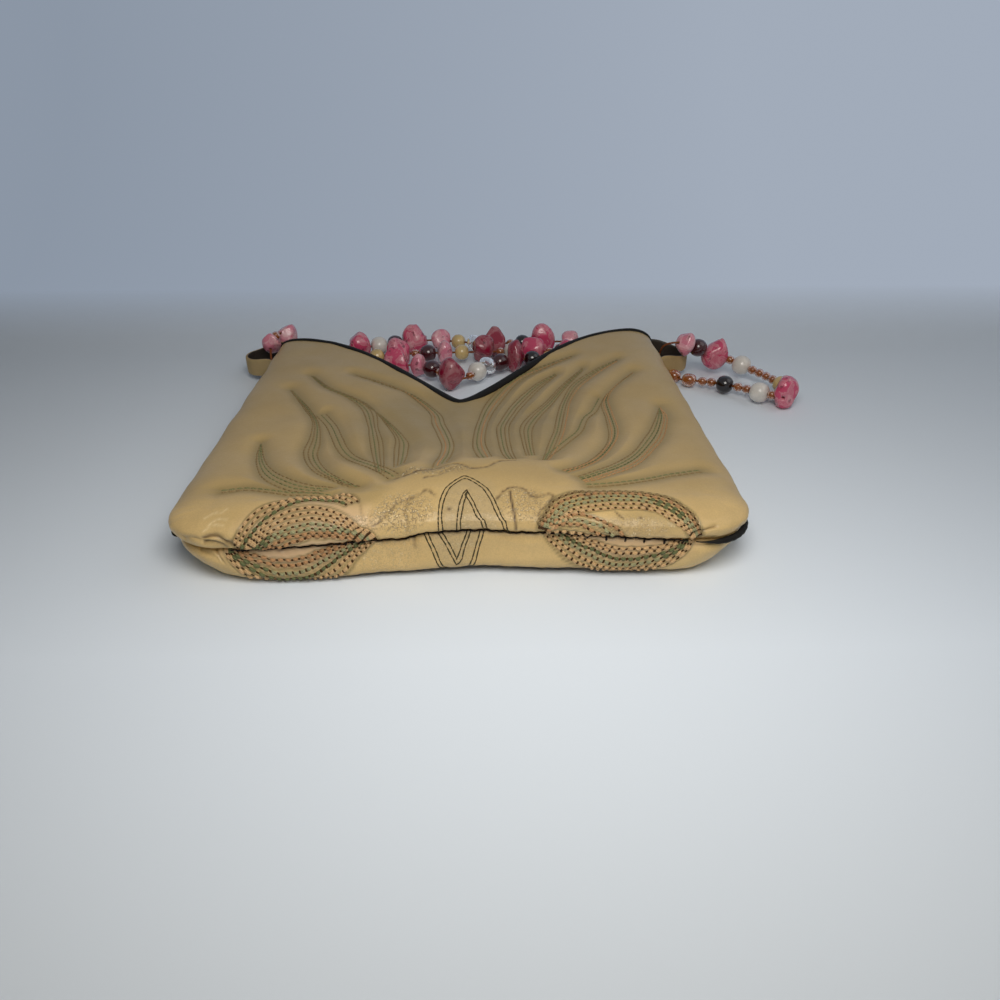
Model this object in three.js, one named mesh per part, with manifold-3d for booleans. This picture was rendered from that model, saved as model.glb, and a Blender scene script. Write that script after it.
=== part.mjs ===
// A flat pouch purse made from the shaft of a western boot, with a beaded shoulder strap.
// It lies on its back: x runs across the pouch, y from the sewn bottom to the mouth, z up.
// All sizes are in millimetres.
import * as THREE from 'three';
import { mergeVertices } from 'three/addons/utils/BufferGeometryUtils.js';
import Module from 'manifold-3d';

// Plan of the pouch, with lengths measured from the bulge of its bottom edge
const WIDTH = 189;
const SIDE_LENGTH = 167; // to the top of a side seam
const EAR_RISE = 13; // ear tip above the top of the side seam
const EAR_INSET = 7.5; // ear tip in from the side
const V_DEPTH = 71; // bottom of the V below the ear tips
const V_OFFSET = -2.3; // bottom of the V off the middle
const V_ROUNDING = 4;
const CORNER_RADIUS = 18;
const BOTTOM_BOW = 4.5; // bottom edge drawn in at its middle
const BOTTOM_BOW_REACH = 42;
const BOTTOM_BOW_LENGTH = 70;

// Heights of the pouch as it lies
const SEAM_HEIGHT = 12;
const SEAM_ARCH = 3.2; // rise of the bottom seam at its highest place
const SEAM_ARCH_PLACE = 25; // right of the middle
const SEAM_ARCH_REACH = 58;
const BODY_HEIGHT = 21;
const SWELL = 5.5; // swelling of the front just above the bottom seam
const SWELL_PLACE = 27;
const SWELL_LENGTH = 18;
const SWELL_REACH = 62;
const MOUTH_DROP = 6; // fall of the front towards the V
const MOUTH_DROP_START = 48;
const MOUTH_DROP_REACH = 48;
const LEFT_EAR_LIFT = -1.5;
const RIGHT_EAR_LIFT = 2.5;
const EAR_LIFT_START = 85;
const EAR_LIFT_REACH = 50;
const UNDERCUT = 11; // foot of the back panel drawn in from each side at the bottom corners
const UNDERCUT_LENGTH = 110;

// Edges of the panels: turned in at the seam, folded out of it, then rolled on to the face
const LEATHER = 2;
const LINING = 0.7;
const TURN_IN = 5;
const CREASE_DEPTH = 4;
const LOBE_HEIGHT = 4.5; // from the seam to the widest line of a panel's roll
const FRONT_ROLL_DEPTH = 13;
const BACK_ROLL_DEPTH = 6;
const SEAM_GAP = 0.4;
const CLEARANCE = 0.3;
const EDGE_CLEARANCE = 0.5; // between a binding and the curved edge that it follows
const LINING_SETBACK = 1; // lining below the top edge

// Trim
const BINDING_DIAMETER = 1.9;
const WELT_DIAMETER = 2.4;
const THREAD_DIAMETER = 1;
const SEAM_END = 74; // where the bottom seam meets the side welts, out from the middle

// Pull straps, each a strip on edge that loops over a mouth corner
const PULL_THICKNESS = 1.6;
const PULL_EDGE_CLEARANCE = 2.5; // above and below the strip inside the mouth
const PULL_SEWN = 14; // length sewn down at each end
const PULL_RISE = 12; // loop past the tip of the ear
const PULL_REACH = 19; // loop out from the side

// Beaded strap
const CORD_DIAMETER = 1;
const KNOT_DIAMETER = 2.8;
const BORE_CLEARANCE = 0.35;

// Bead kinds: height across the cord, length along it, width as a share of the height, and colour
const BEADS = {
  P: { name: 'pink_chip', diameter: 13, length: 6, width: 0.75, color: 0xd9566f },
  R: { name: 'rose_chip', diameter: 10, length: 6.4, width: 0.8, color: 0xd98a96 },
  C: { name: 'crimson_chip', diameter: 13.4, length: 5.6, width: 0.75, color: 0x9c1f3c },
  G: { name: 'garnet', diameter: 8, length: 7.2, width: 1, color: 0x3a0d12 },
  K: { name: 'black_bead', diameter: 7.6, length: 7, width: 1, color: 0x16090b },
  W: { name: 'pearl', diameter: 8.4, length: 7.4, width: 1, color: 0xe9e3da },
  L: { name: 'glass', diameter: 8.8, length: 7.6, width: 1, color: 0xd5d8dc },
  Y: { name: 'cream_bead', diameter: 6.8, length: 6.2, width: 1, color: 0xd8bf7e },
};

// What sits in each equal slot of the cord, from the right pull strap to the left one: a bead by its
// letter, or - for cord alone
const STRINGING =
  '--RGP-W--YP-W-K------G-R-PYKCGLW-C-GRP-R--YP-GRYC-WP-G-Y--R-PK-CLYR-PGWP-Y--R-R-';

// Route of the cord, in the plan of the pouch
const CORD_ROUTE = [
  [99, 178, 9], [100, 172, 17.5], [106, 169, 20], [118, 173.5, 15.5], [129, 176.5, 11], [141, 167, 7.8],
  [151, 149, 7], [153, 137.5, 6.9], [146.5, 131, 6.4], [139, 139.5, 5.6], [122, 153.5, 4.8],
  [108, 161, 3.4], [101, 171, 3.2], [96.5, 184, 4], [87, 193.5, 4.8], [75, 191, 5.4], [58, 184.5, 6.6],
  [22, 181.5, 6.9], [8.5, 172, 6.9], [0, 157.5, 6.9], [-8, 155.5, 6.9], [-15, 166.5, 6.9], [-26, 175, 6.9],
  [-50, 172, 6.9], [-60, 180, 6.9], [-48, 189, 6.9], [18, 194.5, 6.9], [52, 193.5, 6.9], [71, 198.5, 6.9],
  [69, 208, 6.9], [48, 210, 6.9], [10, 207.5, 7], [-22, 213.5, 7], [-48, 206, 7], [-72, 199, 7],
  [-88, 203.5, 9], [-96, 198, 16], [-100, 186, 19.5], [-100.5, 177, 14], [-99, 171.5, 8.5],
];

// Fineness of the faces
const FACE_COLUMNS = 12;
const FACE_ROWS = 7;
const COLUMN_CROWDING = 1.4; // columns closer together towards the V
const ROLL_STEPS = 4;
const GROOVE_STEPS = 90;
const TRIM_SIDES = 6;
const TRIM_STATIONS = 24;
const CORNER_CROWDING = 1.5; // stations of a welt closer together round the corner
const PULL_STATIONS = 28;
const CORD_SIDES = 8;
const BALL_RINGS = 4;
const PROBE = 0.05; // step for measuring slopes and seats
const MERGE_DISTANCE = 1e-3;

const LEATHER_TAN = { color: 0xcdb07a, roughness: 0.5, metalness: 0 };
const BINDING_BLACK = { color: 0x17130f, roughness: 0.55, metalness: 0 };
const LINING_DARK = { color: 0x2a2119, roughness: 0.9, metalness: 0 };
const THREAD_DARK = { color: 0x241d14, roughness: 0.8, metalness: 0 };
const CORD_BROWN = { color: 0x8a4a24, roughness: 0.5, metalness: 0 };
const POLISHED = { roughness: 0.25, metalness: 0 };

const HALF = WIDTH / 2;
const EAR_LENGTH = SIDE_LENGTH + EAR_RISE;
const EAR_TIP = HALF - EAR_INSET;
const V_LENGTH = EAR_LENGTH - V_DEPTH;
const PULL_BOTTOM = SIDE_LENGTH - PULL_SEWN;
const QUARTER = Math.PI / 2;

const { smoothstep, lerp, clamp } = THREE.MathUtils;
const wasm = await Module();
wasm.setup();

function solidOf(geometry) {
  const bare = geometry.clone();
  bare.deleteAttribute('normal');
  bare.deleteAttribute('uv');
  const merged = mergeVertices(bare, MERGE_DISTANCE);
  const mesh = new wasm.Mesh({
    numProp: 3,
    vertProperties: new Float32Array(merged.attributes.position.array),
    triVerts: new Uint32Array(merged.index.array),
  });
  return new wasm.Manifold(mesh);
}

function joined(geometries) {
  const whole = geometries.map(solidOf).reduce((sum, solid) => sum.add(solid));
  const mesh = whole.getMesh();
  const geometry = new THREE.BufferGeometry();
  geometry.setAttribute('position', new THREE.BufferAttribute(mesh.vertProperties, 3));
  return geometry.setIndex(new THREE.BufferAttribute(mesh.triVerts, 1));
}

function indexedGeometry(points, index) {
  const positions = points.flatMap((p) => [p.x, p.y, p.z]);
  const geometry = new THREE.BufferGeometry();
  geometry.setAttribute('position', new THREE.Float32BufferAttribute(positions, 3));
  return geometry.setIndex(index);
}

function bell(distance, reach) {
  return Math.exp(-((distance / reach) ** 2));
}

// How far the middle of the bottom edge is drawn in
function bowAt(x, y) {
  return BOTTOM_BOW * bell(x, BOTTOM_BOW_REACH) * (1 - smoothstep(y, 0, BOTTOM_BOW_LENGTH));
}

// Share of the width left below the seam, where the foot of the pouch is drawn in
function drawnIn(x, y, z) {
  const below = Math.max(0, 1 - z / seamHeight(x, y));
  return 1 - (UNDERCUT / HALF) * below * (1 - smoothstep(y, 0, UNDERCUT_LENGTH));
}

// Height of the seam line, and of the front panel's face inside its roll
function seamHeight(x, y) {
  return SEAM_HEIGHT + SEAM_ARCH * bell(x - SEAM_ARCH_PLACE, SEAM_ARCH_REACH) * bell(y, CORNER_RADIUS);
}

function crownHeight(x, y) {
  const swell = SWELL * bell(y - SWELL_PLACE, SWELL_LENGTH) * bell(x, SWELL_REACH);
  const drop = MOUTH_DROP * smoothstep(y, MOUTH_DROP_START, V_LENGTH) * bell(x, MOUTH_DROP_REACH);
  const lift = (x < 0 ? LEFT_EAR_LIFT : RIGHT_EAR_LIFT) * smoothstep(Math.abs(x), 0, EAR_LIFT_REACH);
  return BODY_HEIGHT + swell - drop + lift * smoothstep(y, EAR_LIFT_START, EAR_LENGTH);
}

// A panel: the side that its outside faces, the size of the roll round its edge, the leather cut past
// the widest line of that roll, and the height of a point from how far it is folded, -1 at the seam,
// 0 at the widest line and 1 on the flat of the face
const CREASE_GIRTH = (QUARTER / 2) * (CREASE_DEPTH + LOBE_HEIGHT);

function panelOf(outward, rollDepth, rollRise, height) {
  const rollGirth = (QUARTER / 2) * (rollDepth + rollRise);
  const spare = rollGirth - rollDepth;
  const rim = spare + CREASE_GIRTH + TURN_IN;
  return { outward, rollDepth, rollGirth, spare, rim, halfCut: HALF + rim, height };
}

const FRONT_RISE = BODY_HEIGHT - SEAM_HEIGHT - LOBE_HEIGHT;
const FRONT = panelOf(1, FRONT_ROLL_DEPTH, FRONT_RISE, (x, y, lift) => {
  const widest = seamHeight(x, y) + LOBE_HEIGHT;
  return widest + lift * (lift > 0 ? crownHeight(x, y) - widest : LOBE_HEIGHT - SEAM_GAP / 2);
});
const BACK = panelOf(-1, BACK_ROLL_DEPTH, SEAM_HEIGHT - LOBE_HEIGHT, (x, y, lift) => {
  const widest = seamHeight(x, y) - LOBE_HEIGHT;
  return widest - lift * (lift > 0 ? widest : LOBE_HEIGHT - SEAM_GAP / 2);
});

// A point of the square-cornered cut piece, moved on to the round corner, with its distance in from
// the cut edge and the direction inwards
function cutPoint(panel, x, y) {
  const side = x < 0 ? -1 : 1;
  const across = Math.abs(x) - (HALF - CORNER_RADIUS);
  const down = CORNER_RADIUS - y;
  const reach = Math.max(across, down);
  const inset = CORNER_RADIUS + panel.rim - reach;
  if (across <= 0 || down <= 0) {
    const bySide = across > down;
    return { x, y, inset, inX: bySide ? -side : 0, inY: bySide ? 0 : 1 };
  }
  const share = down < across ? down / across : 2 - across / down;
  const cos = Math.cos((share * QUARTER) / 2);
  const sin = Math.sin((share * QUARTER) / 2);
  return {
    x: side * (HALF - CORNER_RADIUS + reach * cos),
    y: CORNER_RADIUS - reach * sin,
    inset,
    inX: -side * cos,
    inY: sin,
  };
}

// Fold of the leather at a girth counted from the widest line, negative towards the seam
function foldAt(panel, girth) {
  if (girth < -CREASE_GIRTH) return { inward: CREASE_DEPTH - girth - CREASE_GIRTH, lift: -1 };
  if (girth > panel.rollGirth) return { inward: panel.rollDepth + girth - panel.rollGirth, lift: 1 };
  const depth = girth < 0 ? CREASE_DEPTH : panel.rollDepth;
  const angle = (girth / (girth < 0 ? CREASE_GIRTH : panel.rollGirth)) * QUARTER;
  return { inward: depth * (1 - Math.cos(angle)), lift: Math.sin(angle) };
}

// Point on the outside of a formed panel
function facePoint(panel, x, y) {
  const cut = cutPoint(panel, x, y);
  const girth = cut.inset - TURN_IN - CREASE_GIRTH;
  const fold = foldAt(panel, girth);
  const shift = fold.inward - girth + panel.spare;
  const px = cut.x + cut.inX * shift;
  const py = cut.y + cut.inY * shift;
  const z = panel.height(px, py, fold.lift);
  return new THREE.Vector3(px * drawnIn(px, py, z), py + bowAt(px, py), z);
}

function faceNormal(panel, x, y) {
  const along = facePoint(panel, x, y + PROBE).sub(facePoint(panel, x, y - PROBE));
  const across = facePoint(panel, x + PROBE, y).sub(facePoint(panel, x - PROBE, y));
  return across.cross(along).normalize().multiplyScalar(panel.outward);
}

// Point of a formed panel at a depth below its outside
function pointBelow(panel, x, y, depth) {
  return facePoint(panel, x, y).addScaledVector(faceNormal(panel, x, y), -depth);
}

// Top line of the cut piece: the scallop from the V to the ear tip, then down to the side seam
function topLine(panel, x) {
  if (Math.abs(x) < EAR_TIP) {
    const centred = x - V_OFFSET * (1 - Math.abs(x) / EAR_TIP);
    const rounded = (out) => Math.hypot(out, V_ROUNDING) - V_ROUNDING;
    return V_LENGTH + V_DEPTH * Math.sin(QUARTER * (rounded(centred) / rounded(EAR_TIP)));
  }
  const past = (Math.abs(x) - EAR_TIP) / (panel.halfCut - EAR_TIP);
  return SIDE_LENGTH + EAR_RISE * Math.sqrt(Math.max(0, 1 - past ** 2));
}

// Grid lines of a panel: at each turn of its folded rim, and across the face
function creaseStops() {
  return [0, TURN_IN, TURN_IN + CREASE_GIRTH / 2];
}

function rollStops(panel) {
  return Array.from({ length: ROLL_STEPS + 1 }, (_, i) => {
    return TURN_IN + CREASE_GIRTH + (i / ROLL_STEPS) * panel.rollGirth;
  });
}

function columnPlaces(panel, stops) {
  const left = stops.map((stop) => stop - panel.halfCut);
  const inner = panel.halfCut - stops.at(-1);
  const face = Array.from({ length: FACE_COLUMNS - 1 }, (_, i) => {
    const share = (2 * (i + 1)) / FACE_COLUMNS - 1;
    return Math.sign(share) * inner * Math.abs(share) ** COLUMN_CROWDING;
  });
  return [...left, ...face, ...left.map((x) => -x).reverse()];
}

function rowPlaces(panel, x, stops, setback) {
  const rim = stops.map((stop) => stop - panel.rim);
  const start = rim.at(-1);
  const length = topLine(panel, x) - setback - start;
  const face = Array.from({ length: FACE_ROWS }, (_, i) => start + (length * (i + 1)) / FACE_ROWS);
  return [...rim, ...face];
}

// Closed sheet between two grids of points, the upper one first
function sheetGeometry(upper, lower) {
  const columns = upper.length;
  const rows = upper[0].length;
  const top = (i, j) => i * rows + j;
  const bottom = (i, j) => columns * rows + top(i, j);
  const index = [];
  const quad = (a, b, c, d) => index.push(a, b, c, a, c, d);
  for (let i = 0; i + 1 < columns; i += 1) {
    for (let j = 0; j + 1 < rows; j += 1) {
      quad(top(i, j), top(i + 1, j), top(i + 1, j + 1), top(i, j + 1));
      quad(bottom(i, j), bottom(i, j + 1), bottom(i + 1, j + 1), bottom(i + 1, j));
    }
    const end = rows - 1;
    quad(bottom(i, 0), bottom(i + 1, 0), top(i + 1, 0), top(i, 0));
    quad(bottom(i + 1, end), bottom(i, end), top(i, end), top(i + 1, end));
  }
  for (let j = 0; j + 1 < rows; j += 1) {
    const end = columns - 1;
    quad(bottom(0, j + 1), bottom(0, j), top(0, j), top(0, j + 1));
    quad(bottom(end, j), bottom(end, j + 1), top(end, j + 1), top(end, j));
  }
  return indexedGeometry([...upper.flat(), ...lower.flat()], index);
}

// A layer of a panel between two depths below its outside
function layerGeometry(panel, stops, setback, nearDepth, farDepth) {
  const grid = (depth) =>
    columnPlaces(panel, stops).map((x) => {
      return rowPlaces(panel, x, stops, setback).map((y) => pointBelow(panel, x, y, depth));
    });
  const near = grid(nearDepth);
  const far = grid(farDepth);
  return panel.outward > 0 ? sheetGeometry(near, far) : sheetGeometry(far, near);
}

function panelGeometry(panel) {
  return layerGeometry(panel, [...creaseStops(), ...rollStops(panel)], 0, 0, LEATHER);
}

function liningGeometry(panel) {
  const near = LEATHER + CLEARANCE;
  return layerGeometry(panel, rollStops(panel), LINING_SETBACK, near, near + LINING);
}

// Corners of a round section's outline
function ringOf(diameter, sides) {
  return Array.from({ length: sides }, (_, i) => {
    const angle = (4 * QUARTER * i) / sides;
    return new THREE.Vector2(Math.cos(angle), Math.sin(angle)).multiplyScalar(diameter / 2);
  });
}

// Straight-sided rod through points, mitred at each of them
function rodGeometry(points, diameter) {
  const ways = points.slice(1).map((p, i) => p.clone().sub(points[i]).normalize());
  const turn = new THREE.Quaternion().setFromUnitVectors(new THREE.Vector3(0, 0, 1), ways[0]);
  const start = ringOf(diameter, TRIM_SIDES).map(({ x, y }) => {
    return new THREE.Vector3(x, y, 0).applyQuaternion(turn).add(points[0]);
  });
  const rings = [start];
  ways.forEach((way, i) => {
    const plane = way.clone().add(ways[i + 1] ?? way);
    const slid = rings[i].map((corner) => {
      const slide = points[i + 1].clone().sub(corner).dot(plane) / way.dot(plane);
      return corner.clone().addScaledVector(way, slide);
    });
    rings.push(slid);
  });
  const index = [];
  const last = rings.length - 1;
  const at = (i, k) => i * TRIM_SIDES + (k % TRIM_SIDES);
  for (let k = 0; k < TRIM_SIDES; k += 1) {
    for (let i = 0; i < last; i += 1) {
      index.push(at(i, k), at(i, k + 1), at(i + 1, k + 1), at(i, k), at(i + 1, k + 1), at(i + 1, k));
    }
    if (k > 0 && k + 1 < TRIM_SIDES) {
      index.push(at(0, 0), at(0, k + 1), at(0, k), at(last, 0), at(last, k), at(last, k + 1));
    }
  }
  return indexedGeometry(rings.flat(), index);
}

// Edging of a panel's top line, from one side's widest line to the other's
function bindingGeometry(panel) {
  const stand = BINDING_DIAMETER / 2 + EDGE_CLEARANCE;
  const places = columnPlaces(panel, rollStops(panel));
  const middle = places.map((x) => pointBelow(panel, x, topLine(panel, x), LEATHER / 2));
  const line = places.map((x, i) => {
    const normal = faceNormal(panel, x, topLine(panel, x));
    const [away, next] = [Math.max(i - 1, 0), Math.min(i, places.length - 2)].map((k) => {
      const edge = middle[k + 1].clone().sub(middle[k]);
      return normal.clone().cross(edge).normalize().multiplyScalar(panel.outward);
    });
    const mitre = away.clone().add(next).normalize();
    return middle[i].clone().addScaledVector(mitre, stand / mitre.dot(away));
  });
  return rodGeometry(line, BINDING_DIAMETER);
}

// Depth in the groove of the seam at which a rod lies clear of both panels
function grooveSeat(diameter) {
  const roomAt = (depth) => {
    const angles = Array.from({ length: GROOVE_STEPS }, (_, i) => (QUARTER * i) / GROOVE_STEPS);
    const rooms = angles.map((angle) => {
      const inward = CREASE_DEPTH * (1 - Math.cos(angle));
      const above = LOBE_HEIGHT - (LOBE_HEIGHT - SEAM_GAP / 2) * Math.sin(angle);
      return Math.hypot(inward - depth, above);
    });
    return Math.min(...rooms);
  };
  let depth = CREASE_DEPTH;
  while (roomAt(depth) < diameter / 2 + CLEARANCE) depth -= PROBE;
  return depth;
}

// Point in the seam's groove, by the girth of the outline from the middle of the bottom to one side
function groovePoint(side, girth, depth) {
  const straight = HALF - CORNER_RADIUS;
  const angle = clamp((girth - straight) / CORNER_RADIUS, 0, QUARTER);
  const radius = CORNER_RADIUS - depth;
  const x = Math.min(girth, straight) + radius * Math.sin(angle);
  const up = Math.max(0, girth - straight - CORNER_RADIUS * QUARTER);
  const y = CORNER_RADIUS - radius * Math.cos(angle) + up;
  return new THREE.Vector3(side * x, y + bowAt(x, y), seamHeight(side * x, y));
}

// Piping in a side seam, from the end of the bottom seam round the corner to the pull strap
function weltGeometry(side) {
  const depth = grooveSeat(WELT_DIAMETER);
  const top = PULL_BOTTOM - CLEARANCE - CORNER_RADIUS;
  const end = HALF - CORNER_RADIUS + CORNER_RADIUS * QUARTER + top;
  const line = Array.from({ length: TRIM_STATIONS + 1 }, (_, i) => {
    return groovePoint(side, lerp(SEAM_END, end, (i / TRIM_STATIONS) ** CORNER_CROWDING), depth);
  });
  return rodGeometry(line, WELT_DIAMETER);
}

// Thread that closes the bottom seam, between the ends of the welts
function threadGeometry() {
  const depth = grooveSeat(THREAD_DIAMETER);
  const end = SEAM_END - WELT_DIAMETER;
  const line = Array.from({ length: TRIM_STATIONS + 1 }, (_, i) => {
    const x = lerp(-end, end, i / TRIM_STATIONS);
    return groovePoint(x < 0 ? -1 : 1, Math.abs(x), depth);
  });
  return rodGeometry(line, THREAD_DIAMETER);
}

// Strip sewn inside the mouth corner, looped past the top line and sewn outside the side seam
function pullGeometry(side) {
  const stand = PULL_THICKNESS / 2 + CLEARANCE;
  const inside = HALF - CREASE_DEPTH - TURN_IN - stand;
  const outside = HALF + stand;
  const out = HALF + PULL_REACH;
  const sewn = PULL_BOTTOM + PULL_SEWN / 2;
  const turn = (sewn + EAR_LENGTH) / 2;
  const line = new THREE.Path();
  line.moveTo(inside, PULL_BOTTOM);
  line.lineTo(inside, EAR_LENGTH);
  line.absellipse((inside + out) / 2, EAR_LENGTH, (out - inside) / 2, PULL_RISE, 2 * QUARTER, 0, true, 0);
  line.bezierCurveTo(out, turn, outside, turn, outside, sewn);
  line.lineTo(outside, PULL_BOTTOM);
  const edge = (offset) =>
    Array.from({ length: PULL_STATIONS + 1 }, (_, i) => {
      const place = line.getPointAt(i / PULL_STATIONS);
      const way = line.getTangentAt(i / PULL_STATIONS);
      return new THREE.Vector2(side * (place.x - way.y * offset), place.y + way.x * offset);
    });
  const outline = [...edge(PULL_THICKNESS / 2), ...edge(-PULL_THICKNESS / 2).reverse()];
  const wall = LEATHER + CLEARANCE + LINING + PULL_EDGE_CLEARANCE;
  const depth = BODY_HEIGHT + Math.min(LEFT_EAR_LIFT, RIGHT_EAR_LIFT, 0) - 2 * wall;
  const strip = new THREE.ExtrudeGeometry(new THREE.Shape(outline), { depth, bevelEnabled: false });
  return strip.translate(0, 0, wall);
}

// Strap: the cord is straight in each of its slots, so that a bead sits on it true
const SLOTS = [...STRINGING];
const CORD_POINTS = CORD_ROUTE.map(([x, y, z]) => new THREE.Vector3(x, y, z));
const CORD_LINE = new THREE.CatmullRomCurve3(CORD_POINTS, false, 'centripetal');
const SLOT_ENDS = CORD_LINE.getSpacedPoints(SLOTS.length);

function knotGeometry({ x, y, z }) {
  return new THREE.SphereGeometry(KNOT_DIAMETER / 2, TRIM_SIDES, BALL_RINGS).translate(x, y, z);
}

function cordGeometry() {
  const section = new THREE.Shape(ringOf(CORD_DIAMETER, CORD_SIDES));
  const cord = new THREE.ExtrudeGeometry(section, { steps: SLOTS.length, extrudePath: CORD_LINE });
  return joined([cord, knotGeometry(SLOT_ENDS[0]), knotGeometry(SLOT_ENDS.at(-1))]);
}

function beadGeometry({ diameter, length, width }) {
  const bore = (CORD_DIAMETER / 2 + BORE_CLEARANCE) / width;
  const profile = [
    [bore, -length / 2],
    [diameter / 2, -length / 4],
    [diameter / 2, length / 4],
    [bore, length / 2],
    [bore, -length / 2],
  ].map(([radius, along]) => new THREE.Vector2(radius, along));
  return new THREE.LatheGeometry(profile, CORD_SIDES).scale(width, 1, 1);
}

function meshOf(name, geometry, finish) {
  const mesh = new THREE.Mesh(geometry, new THREE.MeshStandardMaterial(finish));
  mesh.name = name;
  return mesh;
}

function beadMesh(kind, slot, number) {
  const name = `bead_${String(number).padStart(2, '0')}_${kind.name}`;
  const bead = meshOf(name, beadGeometry(kind), { color: kind.color, ...POLISHED });
  const [start, end] = SLOT_ENDS.slice(slot, slot + 2);
  bead.position.lerpVectors(start, end, 0.5);
  bead.quaternion.setFromUnitVectors(new THREE.Vector3(0, 1, 0), end.clone().sub(start).normalize());
  return bead;
}

const pouch = new THREE.Group();
pouch.add(
  meshOf('front_panel', panelGeometry(FRONT), LEATHER_TAN),
  meshOf('back_panel', panelGeometry(BACK), LEATHER_TAN),
  meshOf('front_lining', liningGeometry(FRONT), LINING_DARK),
  meshOf('back_lining', liningGeometry(BACK), LINING_DARK),
  meshOf('front_top_binding', bindingGeometry(FRONT), BINDING_BLACK),
  meshOf('back_top_binding', bindingGeometry(BACK), BINDING_BLACK),
  meshOf('left_side_welt', weltGeometry(-1), BINDING_BLACK),
  meshOf('right_side_welt', weltGeometry(1), BINDING_BLACK),
  meshOf('bottom_seam_thread', threadGeometry(), THREAD_DARK),
  meshOf('left_pull_strap', pullGeometry(-1), LEATHER_TAN),
  meshOf('right_pull_strap', pullGeometry(1), LEATHER_TAN),
);

const strap = new THREE.Group();
strap.add(meshOf('strap_cord', cordGeometry(), CORD_BROWN));
SLOTS.map((letter, slot) => ({ kind: BEADS[letter], slot }))
  .filter(({ kind }) => kind)
  .forEach(({ kind, slot }, i) => strap.add(beadMesh(kind, slot, i + 1)));

// The origin is under the middle of the pouch
const middle = new THREE.Box3().setFromObject(pouch).getCenter(new THREE.Vector3());
const purse = new THREE.Group();
purse.add(pouch, strap);
purse.position.set(-middle.x, -middle.y, 0);

export default purse;
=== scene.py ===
"""Flat purse cut from the shaft of a western boot, with its beaded strap, dressed around the frame."""

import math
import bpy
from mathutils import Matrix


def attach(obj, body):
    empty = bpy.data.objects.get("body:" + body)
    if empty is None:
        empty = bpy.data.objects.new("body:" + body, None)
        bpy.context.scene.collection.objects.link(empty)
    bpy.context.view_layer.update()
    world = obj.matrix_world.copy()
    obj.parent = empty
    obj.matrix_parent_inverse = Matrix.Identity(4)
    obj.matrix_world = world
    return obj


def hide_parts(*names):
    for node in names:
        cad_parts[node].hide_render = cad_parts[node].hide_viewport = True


bl_info = {
    "name": "Boot-Shaft Purse",
    "version": (1, 0, 0),
    "blender": (4, 5, 0),
    "location": "View3D > Sidebar > Purse",
    "description": "Makes a stitched leather purse cut from a boot shaft, with a beaded strap",
    "category": "Object",
}

import bpy
import numpy as np
from mathutils import Vector, kdtree, noise

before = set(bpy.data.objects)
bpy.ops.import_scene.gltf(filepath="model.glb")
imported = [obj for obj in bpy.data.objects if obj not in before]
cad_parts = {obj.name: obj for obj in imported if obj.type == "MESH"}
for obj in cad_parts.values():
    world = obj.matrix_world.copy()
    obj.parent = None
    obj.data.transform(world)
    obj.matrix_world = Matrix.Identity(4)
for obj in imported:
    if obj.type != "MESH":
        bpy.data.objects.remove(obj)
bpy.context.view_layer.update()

MM = 0.001
QUARTER = math.pi / 2
TURN = 2 * math.pi

# Form of the pouch, in millimetres, as the frame has it
WIDTH = 189.0
SIDE_LENGTH = 167.0
EAR_RISE = 13.0
EAR_INSET = 7.5
V_DEPTH = 71.0
V_OFFSET = -2.3
V_ROUNDING = 4.0
CORNER_RADIUS = 18.0
BOTTOM_BOW = 4.5
BOTTOM_BOW_REACH = 42.0
BOTTOM_BOW_LENGTH = 70.0
SEAM_HEIGHT = 12.0
SEAM_ARCH = 3.2
SEAM_ARCH_PLACE = 25.0
SEAM_ARCH_REACH = 58.0
BODY_HEIGHT = 21.0
SWELL = 5.5
SWELL_PLACE = 27.0
SWELL_LENGTH = 18.0
SWELL_REACH = 62.0
MOUTH_DROP = 6.0
MOUTH_DROP_START = 48.0
MOUTH_DROP_REACH = 48.0
LEFT_EAR_LIFT = -1.5
RIGHT_EAR_LIFT = 2.5
EAR_LIFT_START = 85.0
EAR_LIFT_REACH = 50.0
UNDERCUT = 11.0
UNDERCUT_LENGTH = 110.0
LEATHER = 2.0
LINING = 0.7
TURN_IN = 5.0
CREASE_DEPTH = 4.0
LOBE_HEIGHT = 4.5
FRONT_ROLL_DEPTH = 13.0
BACK_ROLL_DEPTH = 6.0
SEAM_GAP = 0.4
CLEARANCE = 0.3
LINING_SETBACK = 1.0
BINDING_STAND = 1.45
WELT_DIAMETER = 2.4
FINE_THREAD = 0.6
SEAM_END = 74.0
PULL_THICKNESS = 1.6
PULL_LOW = 5.5
PULL_HIGH = 14.0
PULL_SEWN = 14.0
PULL_RISE = 12.0
PULL_REACH = 19.0
PULL_SAG = 2.6
ORIGIN = np.array([0.0, 96.2123, 0.0])  # the frame's origin in the plan of the pouch

HALF = WIDTH / 2
EAR_LENGTH = SIDE_LENGTH + EAR_RISE
EAR_TIP = HALF - EAR_INSET
V_LENGTH = EAR_LENGTH - V_DEPTH
PULL_BOTTOM = SIDE_LENGTH - PULL_SEWN
CREASE_GIRTH = (QUARTER / 2) * (CREASE_DEPTH + LOBE_HEIGHT)
PROBE = 0.05  # step for measuring slopes and seats
LOWEST = 0.02  # least height of leather over the table
STITCH_LOWEST = 0.01

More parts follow.
